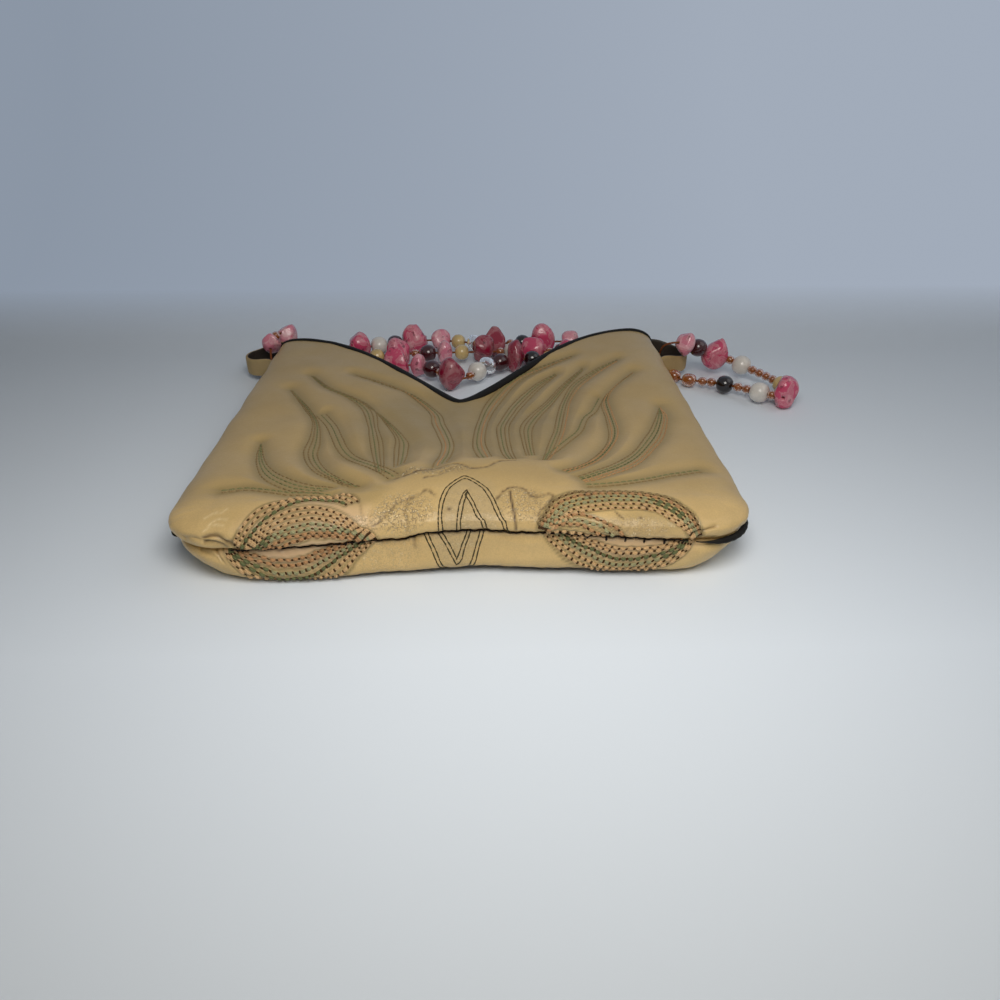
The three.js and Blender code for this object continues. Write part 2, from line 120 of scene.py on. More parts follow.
# Forms of the worked leather and its edges over those of the frame
LOBE_FULLNESS = 1.6
LOBE_PLACE = 8.5
LOBE_REACH = 7.0
LOWER_FULLNESS = 2.3
LOWER_FULLNESS_RIGHT = 1.2
LOWER_PLACE = -0.6
LOWER_REACH = 2.4
LOWER_RIGHT = (0, 45)  # over which the lower edge gets leaner, from the middle to the right
LOWER_SIDES = (8, 34)  # over which a fullness grows, from the side seams
LOBE_SIDES = (4, 30)
FOOT_LIFT = 2.3
FOOT_MIDDLE = 12.0
FOOT_START = (0.5, 4)
FOOT_END = (9, 22)
FOOT_SIDES = (40, 76)
DEEPEST = 1.8  # how far rows and creases may draw the leather down
DEEPEST_EASE = 0.3  # how softly the leather comes to that depth
LIP_DEPTH = 2.4  # depth of the seam between the two lips
LIP_FULLNESS = 1.6
LIP_PLACE = -3.2
LIP_REACH = 1.8
LIP_SIDES = (58, 78)
ROW_REACH = 0.55  # how far the groove of a row spreads beside it
SLOW_WAVES = (19, 15, 3.1)  # waves of the leather: length across and along, and layer of noise
LOW_WAVES = (6, 7, 6.2)
LOW_WAVE_SHARE = 0.45
LOW_WAVE_FADE = (14, 40)
WRINKLES = (8, 2.4, 9.4)
WRINKLE_HEIGHT = 0.16
WRINKLE_FADE = (8, 24)
STREAKS = (0.8, 0.8, 5.1)
CRUMBS = (0.9, 0.9, 1.7)
SCUFF_WIDTH = 0.36
STAIN_SHARE = 0.85
# Painted shadow on the underside just behind the back panel's raised lower edge: share
FOOT_PAINTED_SHADOW = 0.9
FAR_AWAY = 99.0
CREASE_MARGIN = 6.0  # beyond which a crease has no part in the leather
TURNED_EDGE = ((0.0, 0.5 * LEATHER), (0.0, LEATHER), (-4.0, LEATHER))  # back from the top edge, and down
LINING_SLACK = 0.5
LINING_EASE = (12, 10)  # over which the slack of a lining grows, from its fold and from its top
BINDING_WIDTH = 3.6
BINDING_HEIGHT = 3.2
BINDING_OVERLAP = 0.85  # how far the folded edging lies back over the edge
BINDING_WOBBLE = 0.12
WELT_EMERGES = {"left": 18.0, "right": 0.0}  # how far past the seam thread the piping comes into sight
WELT_RISE = 6.0  # length over which it comes up, and over which it swells
WELT_SWELL = 12.0
WELT_GIRTH = (0.14, 0.78)  # share of its diameter at the end, and what it gains
WELT_HIDDEN = 1.2  # how much deeper than the groove its end lies
PULL_SWAY = 0.4

# Grids of the pieces
FRONT_STEP = 0.5
BACK_STEP = 0.6
FINE_END = 66.0  # up to which a panel's rows are even
FAR_ROWS = 61
FAR_SPREAD = 1.1
LINING_GRID = (121, 90)
BINDING_RINGS = 361
BINDING_SPREAD = 1.25
BINDING_SIDES = 14
WELT_RINGS = 260
WELT_SIDES = 12
SEAM_RINGS = 400
SEAM_SIDES = 8
PULL_RINGS = 150
PULL_SIDES = 28
CORD_POINTS = 600

# Stage, in metres and watts
SENSOR = 36.0  # width, in millimetres
FLOOR_HALF = 3.0
BACKDROP_START = 0.124
BACKDROP_RADIUS = 0.3
BACKDROP_HEIGHT = 1.2
BACKDROP_HALF = 1.6
BACKDROP_LIFT = 0.0003
SKY_STRENGTH = (0.12, 0.36)  # as light, and as the camera sees it
LAMPS = {  # place, what it is aimed at, size, power and colour
    "key_light": ((0.03, -0.22, 0.25), (0, -0.06, 0), 0.17, 0.63, (1.0, 0.96, 0.9)),
    "fill_light": ((0.5, -0.05, 0.5), (0, 0, 0), 0.5, 0.55, (0.95, 0.97, 1.0)),
}

# Strap: bead letters by slot, from the right pull strap to the left one, and the cord's route
STRINGING = "--RGP-W--YP-W-K------G-R-PYKCGLW-C-GRP-R--YP-GRYC-WP-G-Y--R-PK-CLYR-PGWP-Y--R-R-"
CORD_ROUTE = [
    (99, 178, 9), (100, 172, 17.5), (106, 169, 20), (118, 173.5, 15.5), (129, 176.5, 11),
    (141, 167, 7.8), (151, 149, 7), (153, 137.5, 6.9), (146.5, 131, 6.4), (139, 139.5, 5.6),
    (122, 153.5, 4.8), (108, 161, 3.4), (101, 171, 3.2), (96.5, 184, 4), (87, 193.5, 4.8),
    (75, 191, 5.4), (58, 184.5, 6.6), (22, 181.5, 6.9), (8.5, 172, 6.9), (0, 157.5, 6.9),
    (-8, 155.5, 6.9), (-15, 166.5, 6.9), (-26, 175, 6.9), (-50, 172, 6.9), (-60, 180, 6.9),
    (-48, 189, 6.9), (18, 194.5, 6.9), (52, 193.5, 6.9), (71, 198.5, 6.9), (69, 208, 6.9),
    (48, 210, 6.9), (10, 207.5, 7), (-22, 213.5, 7), (-48, 206, 7), (-72, 199, 7),
    (-88, 203.5, 9), (-96, 198, 16), (-100, 186, 19.5), (-100.5, 177, 14), (-99, 171.5, 8.5),
]

# Bead kinds: node name, height and width across the cord, length along it, cut faces, record slot
BEADS = {
    "P": ("pink_chip", 17.0, 12.6, 8.4, 9, "pink_stone"),
    "R": ("rose_chip", 12.6, 10.0, 8.0, 8, "rose_stone"),
    "C": ("crimson_chip", 16.6, 11.8, 8.2, 9, "crimson_stone"),
    "G": ("garnet", 9.0, 9.0, 8.4, 0, "garnet"),
    "K": ("black_bead", 8.6, 8.6, 8.0, 0, "black_stone"),
    "W": ("pearl", 9.6, 9.6, 8.8, 0, "pearl"),
    "L": ("glass", 9.4, 9.4, 8.4, 14, "clear_glass"),
    "Y": ("cream_bead", 8.0, 8.0, 7.4, 0, "cream"),
}
CHIP_GROWTH = {"P": 4.6, "R": 3.0, "C": 4.2}  # how far a chip reaches into a plain slot beside it
CHIP_CUT = (0.66, 0.92)  # nearest and farthest flat of a chip, as shares of its half sizes
CHIP_WEAR = 0.82
CHIP_BUMPS = 0.035
CHIP_GRID = (20, 26)  # rings and sides
BEAD_GRID = (18, 22)
BEAD_ROUNDING = 0.75
BORE_RADIUS = 0.8
TABLE_CLEARANCE = 0.4
SPACER = ("amber_spacer", 4.4, 4.4, 4.3, 0, "brown_cord")
LONE_SPACER = ("amber_spacer", 6.8, 6.8, 7.2, 0, "brown_cord")
SPACER_PLACES = (0.25, 0.75)
PLAIN_SLOTS_AT_START = 2
BEAD_SEED = 7

# Decorative rows, by the square-cornered cut of a panel, in millimetres from the middle of its bottom
# edge. Each band has a letter of thread for each row, its outer line, and its inner line or the
# distance to it.
OVALS = {
    "front": [
        ("PPG", [(-69.5, -2), (-68.9, 0.1), (-67.2, 3.8), (-65.2, 7.1), (-62.7, 10.1), (-57.2, 12.3),
         (-51.2, 14.6), (-44.7, 14.6), (-39.7, 14.3), (-35.4, 12.6), (-32.7, 10.6)], [(-68, -3.5),
         (-66.7, -1.9), (-63.9, 2.1), (-61.7, 5.6), (-58.9, 7.8), (-53.9, 10.8), (-47.9, 12.3), (-43, 12),
         (-39, 11), (-36, 9.6)]),
        ("PPPMMRR", [(-67, -4), (-65.4, -2.2), (-61.7, 3.1), (-58.7, 6.1), (-52.9, 8.8), (-45.2, 9.3),
         (-37.9, 6.8), (-34.4, 4.6), (-31.2, 1.6), (-26.5, -3)], [(-64.5, -5.6), (-59.2, -4.7),
         (-53.7, -2.4), (-49.7, -1.4), (-45.7, -0.7), (-41.9, -0.9), (-38.2, -1.4), (-33.9, -2.7),
         (-28.5, -4.2)]),
        ("BRMMPP", [(24.6, -2), (25.1, 1.3), (26.8, 4.8), (30.1, 9.6), (39.6, 13.6), (50.1, 15.3),
         (60.1, 14.3), (67.6, 11.6), (70.3, 9.1), (72.6, 6.3), (74.3, 0.8), (75, -2)], [(28, -2.4),
         (31.8, 0.6), (36.1, 5.3), (40.1, 6.6), (48.6, 8.1), (53.8, 8.3), (58.6, 8.1), (62.3, 7.1),
         (65.3, 4.8), (68.6, 1.6), (71.8, -2.4), (73, -4.2)]),
        ("RMRP", [(27.5, -1.5), (31, 2.2), (33.6, 4.2), (36.6, 4.9), (39.3, 4.6), (42.3, 3.6), (46.1, 1.1),
         (51, -3.2)], [(26.4, -3.9), (31.3, -3.1), (35.3, -3.1), (39.3, -4.1), (43.3, -5.4)]),
    ],
    "back": [
        ("PPGMRR", [(-73.8, -11), (-74.3, -6), (-74, -1.3), (-71, 1.6), (-65, 3.3), (-58, 3.2), (-50, 1.5),
         (-42, -0.8), (-36, -3.8), (-31.2, -6.8), (-27, -10.5)], [(-72.3, -12), (-68.5, -8.8),
         (-65.5, -7.3), (-62.8, -6), (-59.8, -5.3), (-53.5, -5.3), (-49.5, -6), (-45, -7.5), (-40.8, -8.8),
         (-37.3, -10.3), (-34.5, -12)]),
        ("PPMGPP", [(26.5, -10.8), (28, -7.8), (30.5, -5.3), (34.5, -3.3), (38.5, -1.8), (43.7, -0.5),
         (50, 0.8), (58, 1.3), (66, 0), (70.5, -1.6), (72.7, -3.3), (73.4, -6.3), (73.5, -10.8)],
         [(34, -11.6), (37.5, -9.3), (40.5, -8), (45, -6.8), (48.7, -5.8), (52.5, -5.5), (57, -5.8),
         (61.5, -6.3), (64.7, -7), (67.2, -8.5), (69, -10), (70.5, -11.6)]),
    ],
}
# Places at which pale green rows are sewn in full green: middle and reach
GREEN_TIPS = {"front": [(-65.5, 1.5, 6.5), (65.5, 11, 5.5)], "back": [(-71.5, -5, 6), (71, -6, 5)]}
ARCHES = {
    "front": [
        ("OO", [(-6.9, -4), (-6.7, 6.6), (-5.7, 11.3), (-3.2, 15.8), (-0.8, 18.4), (1.1, 19.9), (3, 18.9),
         (5.3, 16.9), (8.8, 12.6), (11.1, 8.6), (15.2, -4)], 1.2),
        ("OO", [(-1.4, -5), (-0.4, 6.3), (0.7, 10.6), (1.6, 12.6), (2.7, 10.8), (4.8, 7), (9, -5)], 1.15),
    ],
    "back": [
        ("OO", [(-12, -11.2), (-10.3, -5), (-7, 1), (-1.8, 5), (3.5, 1), (6.4, -5), (7.6, -11.2)], 1.2),
        ("OO", [(-6.6, -11.2), (-4, -5.2), (-2.3, -3), (-1.3, -1.8), (-0.4, -3.2), (1.2, -6.6),
         (2.3, -11.2)], -1.15),
    ],
}
FLAMES = [
    ("DB", [(-80, 24), (-72.7, 25.1), (-66.9, 23.8), (-60.9, 21.8), (-54.9, 19.6), (-48.4, 18.3),
     (-42, 16)], 1.5),
    ("DB", [(82.6, 35.3), (75.3, 32.8), (70.1, 30.8), (63.6, 27.6), (57.3, 24.8), (51.3, 22.8),
     (41.3, 20.5)], -1.5),
    ("BDDB", [(-75.9, 61.6), (-75.2, 52.6), (-72.7, 42.8), (-67.2, 30.8), (-57.2, 21.6), (-46, 18)],
     [(-75.4, 60), (-71.2, 47.6), (-66.5, 38.5), (-60, 31), (-51.2, 24.1), (-42, 20.5)]),
    ("BBDB", [(-76.4, 115.1), (-66.5, 95), (-60.7, 82.3), (-58.6, 66), (-58.2, 52.1), (-51.4, 34.8),
     (-41.9, 24.1), (-36, 19.5)], [(-75.5, 114.5), (-63.5, 93.5), (-57.2, 78.3), (-54, 62), (-52.5, 48.8),
     (-45.5, 32.3), (-37, 22.5), (-33, 19.5)]),
    ("BDB", [(-60.2, 88.3), (-54.2, 77.1), (-49.9, 64.8), (-46.4, 55.1), (-40.9, 44.6), (-28.9, 29.1),
     (-24, 22)], -4),
    ("BDBB", [(-70.9, 133.1), (-62.7, 119.8), (-51.2, 109.8), (-43.4, 98.3), (-38.2, 79.8), (-35.7, 64.8),
     (-28.9, 29.1)], [(-69.5, 132.5), (-59.5, 119), (-45.2, 107.6), (-37.4, 96.3), (-33.9, 77.1),
     (-30.2, 60.3), (-25.9, 26.3)]),
    ("BBDB", [(-46, 108), (-37.4, 96.3), (-26.9, 69.6), (-25.2, 52.3), (-23.2, 31.6)], [(-45, 107),
     (-31.7, 87.3), (-21.7, 64.8), (-20.2, 51.8), (-20.2, 35.8)]),
    ("BRDB", [(-51.9, 137.1), (-37.9, 129.6), (-26.2, 119.3), (-15.4, 99.8), (-13.2, 85.3), (-10.2, 70.6),
     (-7.9, 54.8), (-9.9, 28.1)], [(-51, 136.5), (-36.5, 127), (-22, 116.5), (-11, 99), (-8, 85), (-5, 70),
     (-3.5, 55), (-5.4, 33.6)]),
    ("BDRB", [(50.8, 152.1), (37.3, 145.3), (21.5, 136), (9.5, 112), (5.5, 90), (3.8, 70.1), (3.8, 54.3),
     (6.3, 38.6)], [(49.5, 150.5), (38, 142.5), (24.5, 131), (14, 107), (10, 90), (8.5, 75), (8.3, 60),
     (10.5, 42)]),
    ("BDBB", [(41, 134), (30.5, 124), (19.8, 106), (13.8, 84.1), (12.8, 73.8), (14, 50), (16, 38)],
     [(41.5, 132.5), (32.5, 119), (23.5, 101), (18.5, 84), (17.5, 70), (18, 52), (19, 40)]),
    ("BBDB", [(54, 137), (42.5, 120), (33.3, 103.1), (26.5, 92), (22.3, 78.1), (22.1, 64.6), (23, 45)],
     [(54, 135), (43, 115), (36, 100), (31, 90), (27, 76), (26, 62), (26, 46)]),
    ("BDBR", [(71.6, 144.3), (60.6, 135.3), (48, 121.1), (41.6, 104.8), (38.1, 90.3), (35.3, 73.1),
     (31.8, 58.1), (28.3, 39.3)], [(71, 142.5), (60.5, 130.5), (50.5, 117), (45, 104), (42, 89), (39, 72),
     (35.5, 57), (30.5, 40)]),
    ("BD", [(59, 103), (54.1, 90.1), (49.8, 83.3), (45.8, 70.3), (39.3, 59.3), (30.6, 43.6)], 2),
    ("RGRB", [(76.1, 128.8), (66.3, 115.6), (60.8, 103), (60.3, 89.1), (59.3, 66.6), (50.3, 45.1),
     (42.3, 33.6), (36, 28)], [(75.5, 128), (65, 113.5), (57.6, 99.1), (57, 82), (54.8, 61.3),
     (46.6, 43.3), (40, 33.6), (34, 29)]),
    ("RRGDB", [(80.6, 92), (81.6, 82.6), (79.6, 73.3), (76.1, 63.1), (71.6, 54.6), (60.6, 37.6),
     (47.6, 25.8), (41, 22)], [(80.4, 91), (76.5, 80), (72.5, 70), (68, 61), (62.5, 50.5), (53, 38),
     (45.5, 30.5), (39, 25)]),
]
THREADS = {"R": "rust", "P": "peach", "G": "green", "M": "mint", "B": "brown", "O": "olive", "D": "dull"}

# Creases, cracks and stippled outlines of worn leather: line, depth, half width, darkening along it and how
# broken it is
CREASES = {
    "front": [
        ([(-79.4, 1.3), (-76.4, 2.3), (-74.2, 1.8), (-72.4, -0.7), (-70.4, -1.9)], 1.0, 0.8, 0.75, 0),
        ([(-80, -1.6), (-77, -0.8), (-74.5, -1.6), (-72.2, -3)], 0.8, 0.6, 0.6, 0),
        ([(-90, -1), (-84, 0.5), (-79, -0.8), (-74, -2.5)], 0.7, 1.3, 0.2, 0),
        ([(72.8, -1.7), (75.5, -0.3), (77.5, 1.2), (79.6, 2.1)], 0.8, 0.8, 0.4, 0),
        ([(72.8, -1.7), (75.8, -3.2), (81.6, -3.7)], 0.6, 1.0, 0.4, 0),
        ([(15.8, 12), (16.1, 9.6), (16.6, 6.3), (17.1, 1.1), (17.4, -3)], 0.5, 0.38, 1.0, 0),
        ([(11.6, 9.8), (14.3, 12.6), (17.6, 13.8), (20.8, 13.1), (22.3, 11.3), (25.3, 10.8), (27.8, 11.8),
         (29.6, 10.8), (27.3, 8.1), (25.1, 5.8), (24.1, 1.8)], 0.35, 0.55, 0.85, 0.8),
        ([(-27, 2), (-23.5, 5.5), (-20.2, 8.8), (-17.7, 9.8), (-14.7, 10.6), (-12.7, 11.8), (-10.9, 12.6),
         (-8, 10.6)], 0.25, 0.65, 0.75, 1),
        ([(-17, 10), (-17.5, 6), (-16.5, 2), (-17, -2)], 0.35, 0.7, 0.35, 1),
        ([(-22, 21.5), (-13.7, 24.1), (-8.2, 26.1), (-3.9, 28.1), (0.3, 27.1), (2.8, 24.6), (7.1, 24.8),
         (9.6, 26.3), (13.1, 30.1), (18.3, 32.3)], 0.35, 0.6, 0.9, 0.8),
        ([(-12, 19.4), (-9.7, 20.1), (-6.9, 21.1), (-4.7, 23.1), (-2.2, 25.1)], 0.25, 0.7, 0.8, 1),
        ([(-45.2, 15.6), (-40.4, 14.8), (-35.9, 13.5), (-33.2, 11.6), (-31.5, 8.8), (-30.8, 6)], 0.3, 0.5,
         0.5, 0.8),
        ([(48.6, 6.6), (49.6, 4.9), (50.6, 4)], 0.2, 0.3, 0.8, 0),
        ([(-35, -1), (-30, 3), (-28, 8)], 0.4, 1.6, 0.0, 0),
        ([(22, -2), (24, 5), (23, 12)], 0.4, 1.8, 0.1, 0.5),
    ],
    "back": [
        ([(-77.3, -10.8), (-77.3, -8.3), (-77.5, -6)], 0.7, 0.8, 0.35, 0),
        ([(-89.5, -9.5), (-83.8, -8.5), (-79.5, -6.8)], 0.5, 1.2, 0.15, 0),
        ([(-14.8, -11), (-15, -8), (-15, -5.4)], 0.4, 0.5, 0.45, 0),
        ([(-24, -11), (-25, -7), (-24, -3)], 0.3, 1.4, 0.0, 0),
        ([(12, -11), (14, -6), (13, -1)], 0.3, 1.6, 0.0, 0),
    ],
}
STAINS = {"front": [(40.8, 12.3, 1.3), (58.3, 8.8, 1.3), (-3.5, 5.6, 0.7), (56, 4.4, 0.5)], "back": []}

# Pale scratches
SCUFFS = {
    "front": [
        [(-79.7, 7.8), (-77, 9.6), (-75, 9.4), (-73.2, 10.6)],
        [(-79.4, 3.6), (-76, 5.6), (-72.9, 5.3)],
        [(-78, 5.2), (-75.4, 7.4), (-72, 7.2)],
    ],
    "back": [],
}

# Soft patches of a panel, each an oval by its middle, half sizes and share
PATCHES = {
    "peach": {"front": [(-47, 3, 22, 12, 0.8), (53, -2, 16, 5, 0.25)],
              "back": [(-54, -10, 24, 9, 1.0), (54, -10, 24, 9, 0.8)]},
    "taupe": {"front": [(3, 4, 11, 16, 0.4)], "back": [(-2, -8, 9, 9, 0.35)]},
    "worn": {"front": [(-18, 5, 11, 8, 1.0), (20, 7, 9, 8, 0.8), (3, 3, 11, 12, 0.35),
                       (-9, 24.5, 15, 3.6, 1.0), (34, 3, 8, 6, 0.6), (-30, 2, 9, 5, 0.7),
                       (55, 1, 13, 5, 0.5)],
             "back": [(-25, -6, 14, 7, 0.35), (-2, -7, 9, 9, 0.35)]},
    "shade": {"front": [(0, 82, 50, 44, 0.45), (-33, 14, 11, 6, 0.35), (58, 2, 14, 6, 0.3)],
              "back": [(0, 82, 50, 44, 0.45)]},
}
PATCH_EDGE = (0.6, 1.15)  # where the edge of a patch starts and ends, as shares of its half sizes
RUBBED_AND_LIT_FADE = (9, 24)  # from the bottom edge, where the paler leather ends: wear from rubbing, with painted light of the front-lit near side
# Darkening along the seam line: share, reach, and where it ends towards the sides
SEAM_DARKENING = 0.5
SEAM_DARKENING_REACH = 0.5
SEAM_DARKENING_END = (72, 80)
# Painted shade in the valleys along the flame rows: share and reach
PAINTED_FLAME_SHADE = 0.6
PAINTED_FLAME_SHADE_REACH = 2.5
OVAL_SHADE = 0.85  # line of shade beside each row of the ovals: share, distance from the row and reach
OVAL_SHADE_PLACE = 0.8
OVAL_SHADE_REACH = 0.35
SEAM_TICKS = (40, 46, 52, 58, 64.5, 70.5)
SHORT_TICKS = (-70, 38, 6.1)  # first, last and step
TICK_THREAD = 0.75
LOOKS = ("oval", "arch", "flame")
PIERCED_LOOKS = ("oval", "arch")
HOLE_STRETCH = 1.45  # length of a needle hole along its row, to its width
HOLE_SHARE = 0.25  # part of the thread by which a hole is wider than the least one
HOLE_LEAST = 0.12
HOLE_SINK = 0.12


def sized(name, description, default):
    """Setting for a length, in metres."""
    return bpy.props.FloatProperty(name=name, description=description, default=default, unit="LENGTH")


def coloured(name, description, default):
    """Setting for a colour."""
    return bpy.props.FloatVectorProperty(
        name=name, description=description, default=default, subtype="COLOR")


def angled(name, description, degrees):
    """Setting for an angle."""
    return bpy.props.FloatProperty(
        name=name, description=description, default=math.radians(degrees), subtype="ANGLE")


class PurseSizes(bpy.types.PropertyGroup):
    """Sizes of the purse's finish that a maker may change."""

    stitch_pitch: sized("Stitch Pitch", "From one needle hole to the next", 0.0024)
    stitch_gap: sized("Stitch Gap", "Needle hole between two stitches", 0.0007)
    fine_gap: sized("Fine Gap", "Needle hole between two stitches of the arch and the flames", 0.0003)
    oval_thread: sized("Oval Thread", "Diameter of the thread that fills the ovals", 0.00128)
    arch_thread: sized("Arch Thread", "Diameter of the thread of the middle arch", 0.0005)
    flame_thread: sized("Flame Thread", "Diameter of the thread of the flames", 0.00055)
    pucker: sized("Pucker", "Depth to which a band of stitching draws the leather down", 0.0016)
    pucker_reach: sized("Pucker Reach", "How far the pucker spreads beside a row", 0.0038)
    groove: sized("Row Groove", "Depth of the groove under each row", 0.0003)
    unevenness: sized("Unevenness", "Height of the slow waves in the worn leather", 0.0005)
    cord: sized("Cord", "Diameter of the strap's cord", 0.001)


class PurseColours(bpy.types.PropertyGroup):
    """Colours of the purse's materials."""

    leather: coloured("Leather", "Tan leather", (0.505, 0.355, 0.15))
    # Paler along the bottom edge: wear from rubbing, with painted light of the front-lit near side
    leather_pale: coloured("Pale Leather", "Tan leather rubbed along the bottom", (0.71, 0.495, 0.207))
    leather_dark: coloured("Dark Leather", "Handled and soiled tan leather", (0.30, 0.205, 0.085))
    # Painted shade: the colour to which the valleys along the flames, the lines beside the oval rows and
    # the shade patches are darkened
    painted_valley_shade: coloured("Valley", "Leather soiled along the rows of the flames", (0.21, 0.155, 0.055))
    peach: coloured("Peach", "Paler leather inside the ovals", (0.66, 0.45, 0.25))
    taupe: coloured("Taupe", "Greyer leather inside the middle arch", (0.42, 0.33, 0.19))
    fleck: coloured("Fleck", "Pale flecks and scuffs of worn leather", (0.95, 0.78, 0.47))
    # Dirt of cracks and stains and the darkening of creases and the seam line; also painted shade in the
    # needle holes and the painted shadow behind the back panel's lower edge
    soil: coloured("Soil", "Dirt in cracks and needle holes", (0.06, 0.032, 0.014))
    black: coloured("Black Leather", "Binding and piping", (0.006, 0.0055, 0.005))
    black_handled: coloured("Handled Black", "Binding and piping where handled", (0.022, 0.019, 0.016))
    lining: coloured("Lining", "Dark lining cloth", (0.024, 0.016, 0.010))
    lining_pale: coloured("Pale Lining", "Raised threads of the lining cloth", (0.055, 0.04, 0.027))
    rust_thread: coloured("Rust Thread", "Rust stitching", (0.56, 0.31, 0.14))
    peach_thread: coloured("Peach Thread", "Peach stitching", (0.74, 0.48, 0.235))
    green_thread: coloured("Green Thread", "Green stitching", (0.17, 0.185, 0.075))
    mint_thread: coloured("Mint Thread", "Pale green stitching", (0.42, 0.395, 0.205))
    brown_thread: coloured("Brown Thread", "Brown stitching", (0.32, 0.225, 0.10))
    olive_thread: coloured("Olive Thread", "Dark olive stitching", (0.085, 0.07, 0.03))
    dull_thread: coloured("Dull Thread", "Faded green stitching", (0.25, 0.245, 0.105))
    seam_thread: coloured("Seam Thread", "Dark thread of the bottom seam", (0.018, 0.009, 0.008))
    cord: coloured("Cord", "Waxed cord of the strap", (0.25, 0.07, 0.018))
    pink: coloured("Pink Stone", "Pink stone chips", (0.55, 0.055, 0.13))
    rose: coloured("Rose Stone", "Pale rose stone chips", (0.62, 0.19, 0.26))
    crimson: coloured("Crimson Stone", "Dark red stone chips", (0.25, 0.007, 0.03))
    vein: coloured("Vein", "Pale veins of the stone chips", (0.80, 0.60, 0.58))
    garnet: coloured("Garnet", "Dark garnet beads", (0.055, 0.006, 0.008))
    black_stone: coloured("Black Stone", "Black beads", (0.008, 0.003, 0.003))
    pearl: coloured("Pearl", "Pearl beads", (0.80, 0.75, 0.68))
    glass: coloured("Glass", "Clear glass beads", (0.90, 0.90, 0.92))
    cream_bead: coloured("Cream Bead", "Cream beads", (0.66, 0.48, 0.20))
    amber: coloured("Amber", "Amber spacer beads", (0.42, 0.12, 0.02))


class PurseStage(bpy.types.PropertyGroup):
    """Camera, light and ground."""

    camera_place: bpy.props.FloatVectorProperty(
        name="Camera", description="Place of the camera", subtype="TRANSLATION", unit="LENGTH",
        default=(0.0076, -0.2897, 0.146))
    camera_pitch: angled("Pitch", "How far the camera looks down", 30.9)
    camera_yaw: angled("Yaw", "How far the camera turns to the right", 1.39)
    lens: bpy.props.FloatProperty(
        name="Lens", description="Focal length in millimetres on a 36 mm sensor", default=27.036)
    floor: coloured("Floor", "Pale floor", (0.79, 0.855, 0.925))
    # Painted shade: the floor darkens to this colour towards the camera
    floor_near_shaded: coloured("Near Floor", "Floor towards the camera", (0.50, 0.535, 0.565))
    backdrop: coloured("Backdrop", "Blue-grey backdrop", (0.36, 0.41, 0.49))
    # Painted shade: the backdrop darkens to this colour towards its left side
    backdrop_left_shaded: coloured("Backdrop Left", "Backdrop at its darker, left side", (0.26, 0.305, 0.375))
    sky: coloured("Sky", "Soft light from all sides", (0.93, 0.96, 1.0))


# Surface of the pouch


def smooth(value, low, high):
    share = np.clip((value - low) / (high - low), 0, 1)
    return share * share * (3 - 2 * share)


def bell(distance, reach):
    return np.exp(-((distance / reach) ** 2))


def unit(vectors):
    return vectors / np.maximum(np.linalg.norm(vectors, axis=-1, keepdims=True), 1e-9)


def round_angles(count):
    return np.linspace(0, TURN, count, endpoint=False)


def off_table(points, lowest=LOWEST):
    """Points of which none lies under a height over the table."""
    points[..., 2] = np.maximum(points[..., 2], lowest)
    return points


def seam_height(x, y):
    arch = SEAM_ARCH * bell(x - SEAM_ARCH_PLACE, SEAM_ARCH_REACH) + seam_sway(x)
    return SEAM_HEIGHT + arch * bell(y, CORNER_RADIUS)


def seam_sway(x):
    """Small steps and ripples of the hand-closed seam."""
    step = smooth(x, -17.5, -12.5) * (1 - smooth(x, 4, 19))
    ripple = 0.15 * np.sin(1.05 * x) + 0.1 * np.sin(2.3 * x + 1)
    return step - 0.4 * bell(x + 19, 6) + 0.3 * bell(x - 31, 8) + ripple * (1 - smooth(np.abs(x), 66, 78))


def lip_depth(x):
    """Depth of the seam between its lips: shallow along the bottom, deeper round the piped sides."""
    return LIP_DEPTH + (CREASE_DEPTH - LIP_DEPTH) * smooth(np.abs(x), *LIP_SIDES)


def bow_at(x, y):
    return BOTTOM_BOW * bell(x, BOTTOM_BOW_REACH) * (1 - smooth(y, 0, BOTTOM_BOW_LENGTH))


def crown_height(x, y):
    swell = SWELL * bell(y - SWELL_PLACE, SWELL_LENGTH) * bell(x, SWELL_REACH)
    drop = MOUTH_DROP * smooth(y, MOUTH_DROP_START, V_LENGTH) * bell(x, MOUTH_DROP_REACH)
    lift = np.where(x < 0, LEFT_EAR_LIFT, RIGHT_EAR_LIFT) * smooth(np.abs(x), 0, EAR_LIFT_REACH)
    return BODY_HEIGHT + swell - drop + lift * smooth(y, EAR_LIFT_START, EAR_LENGTH)


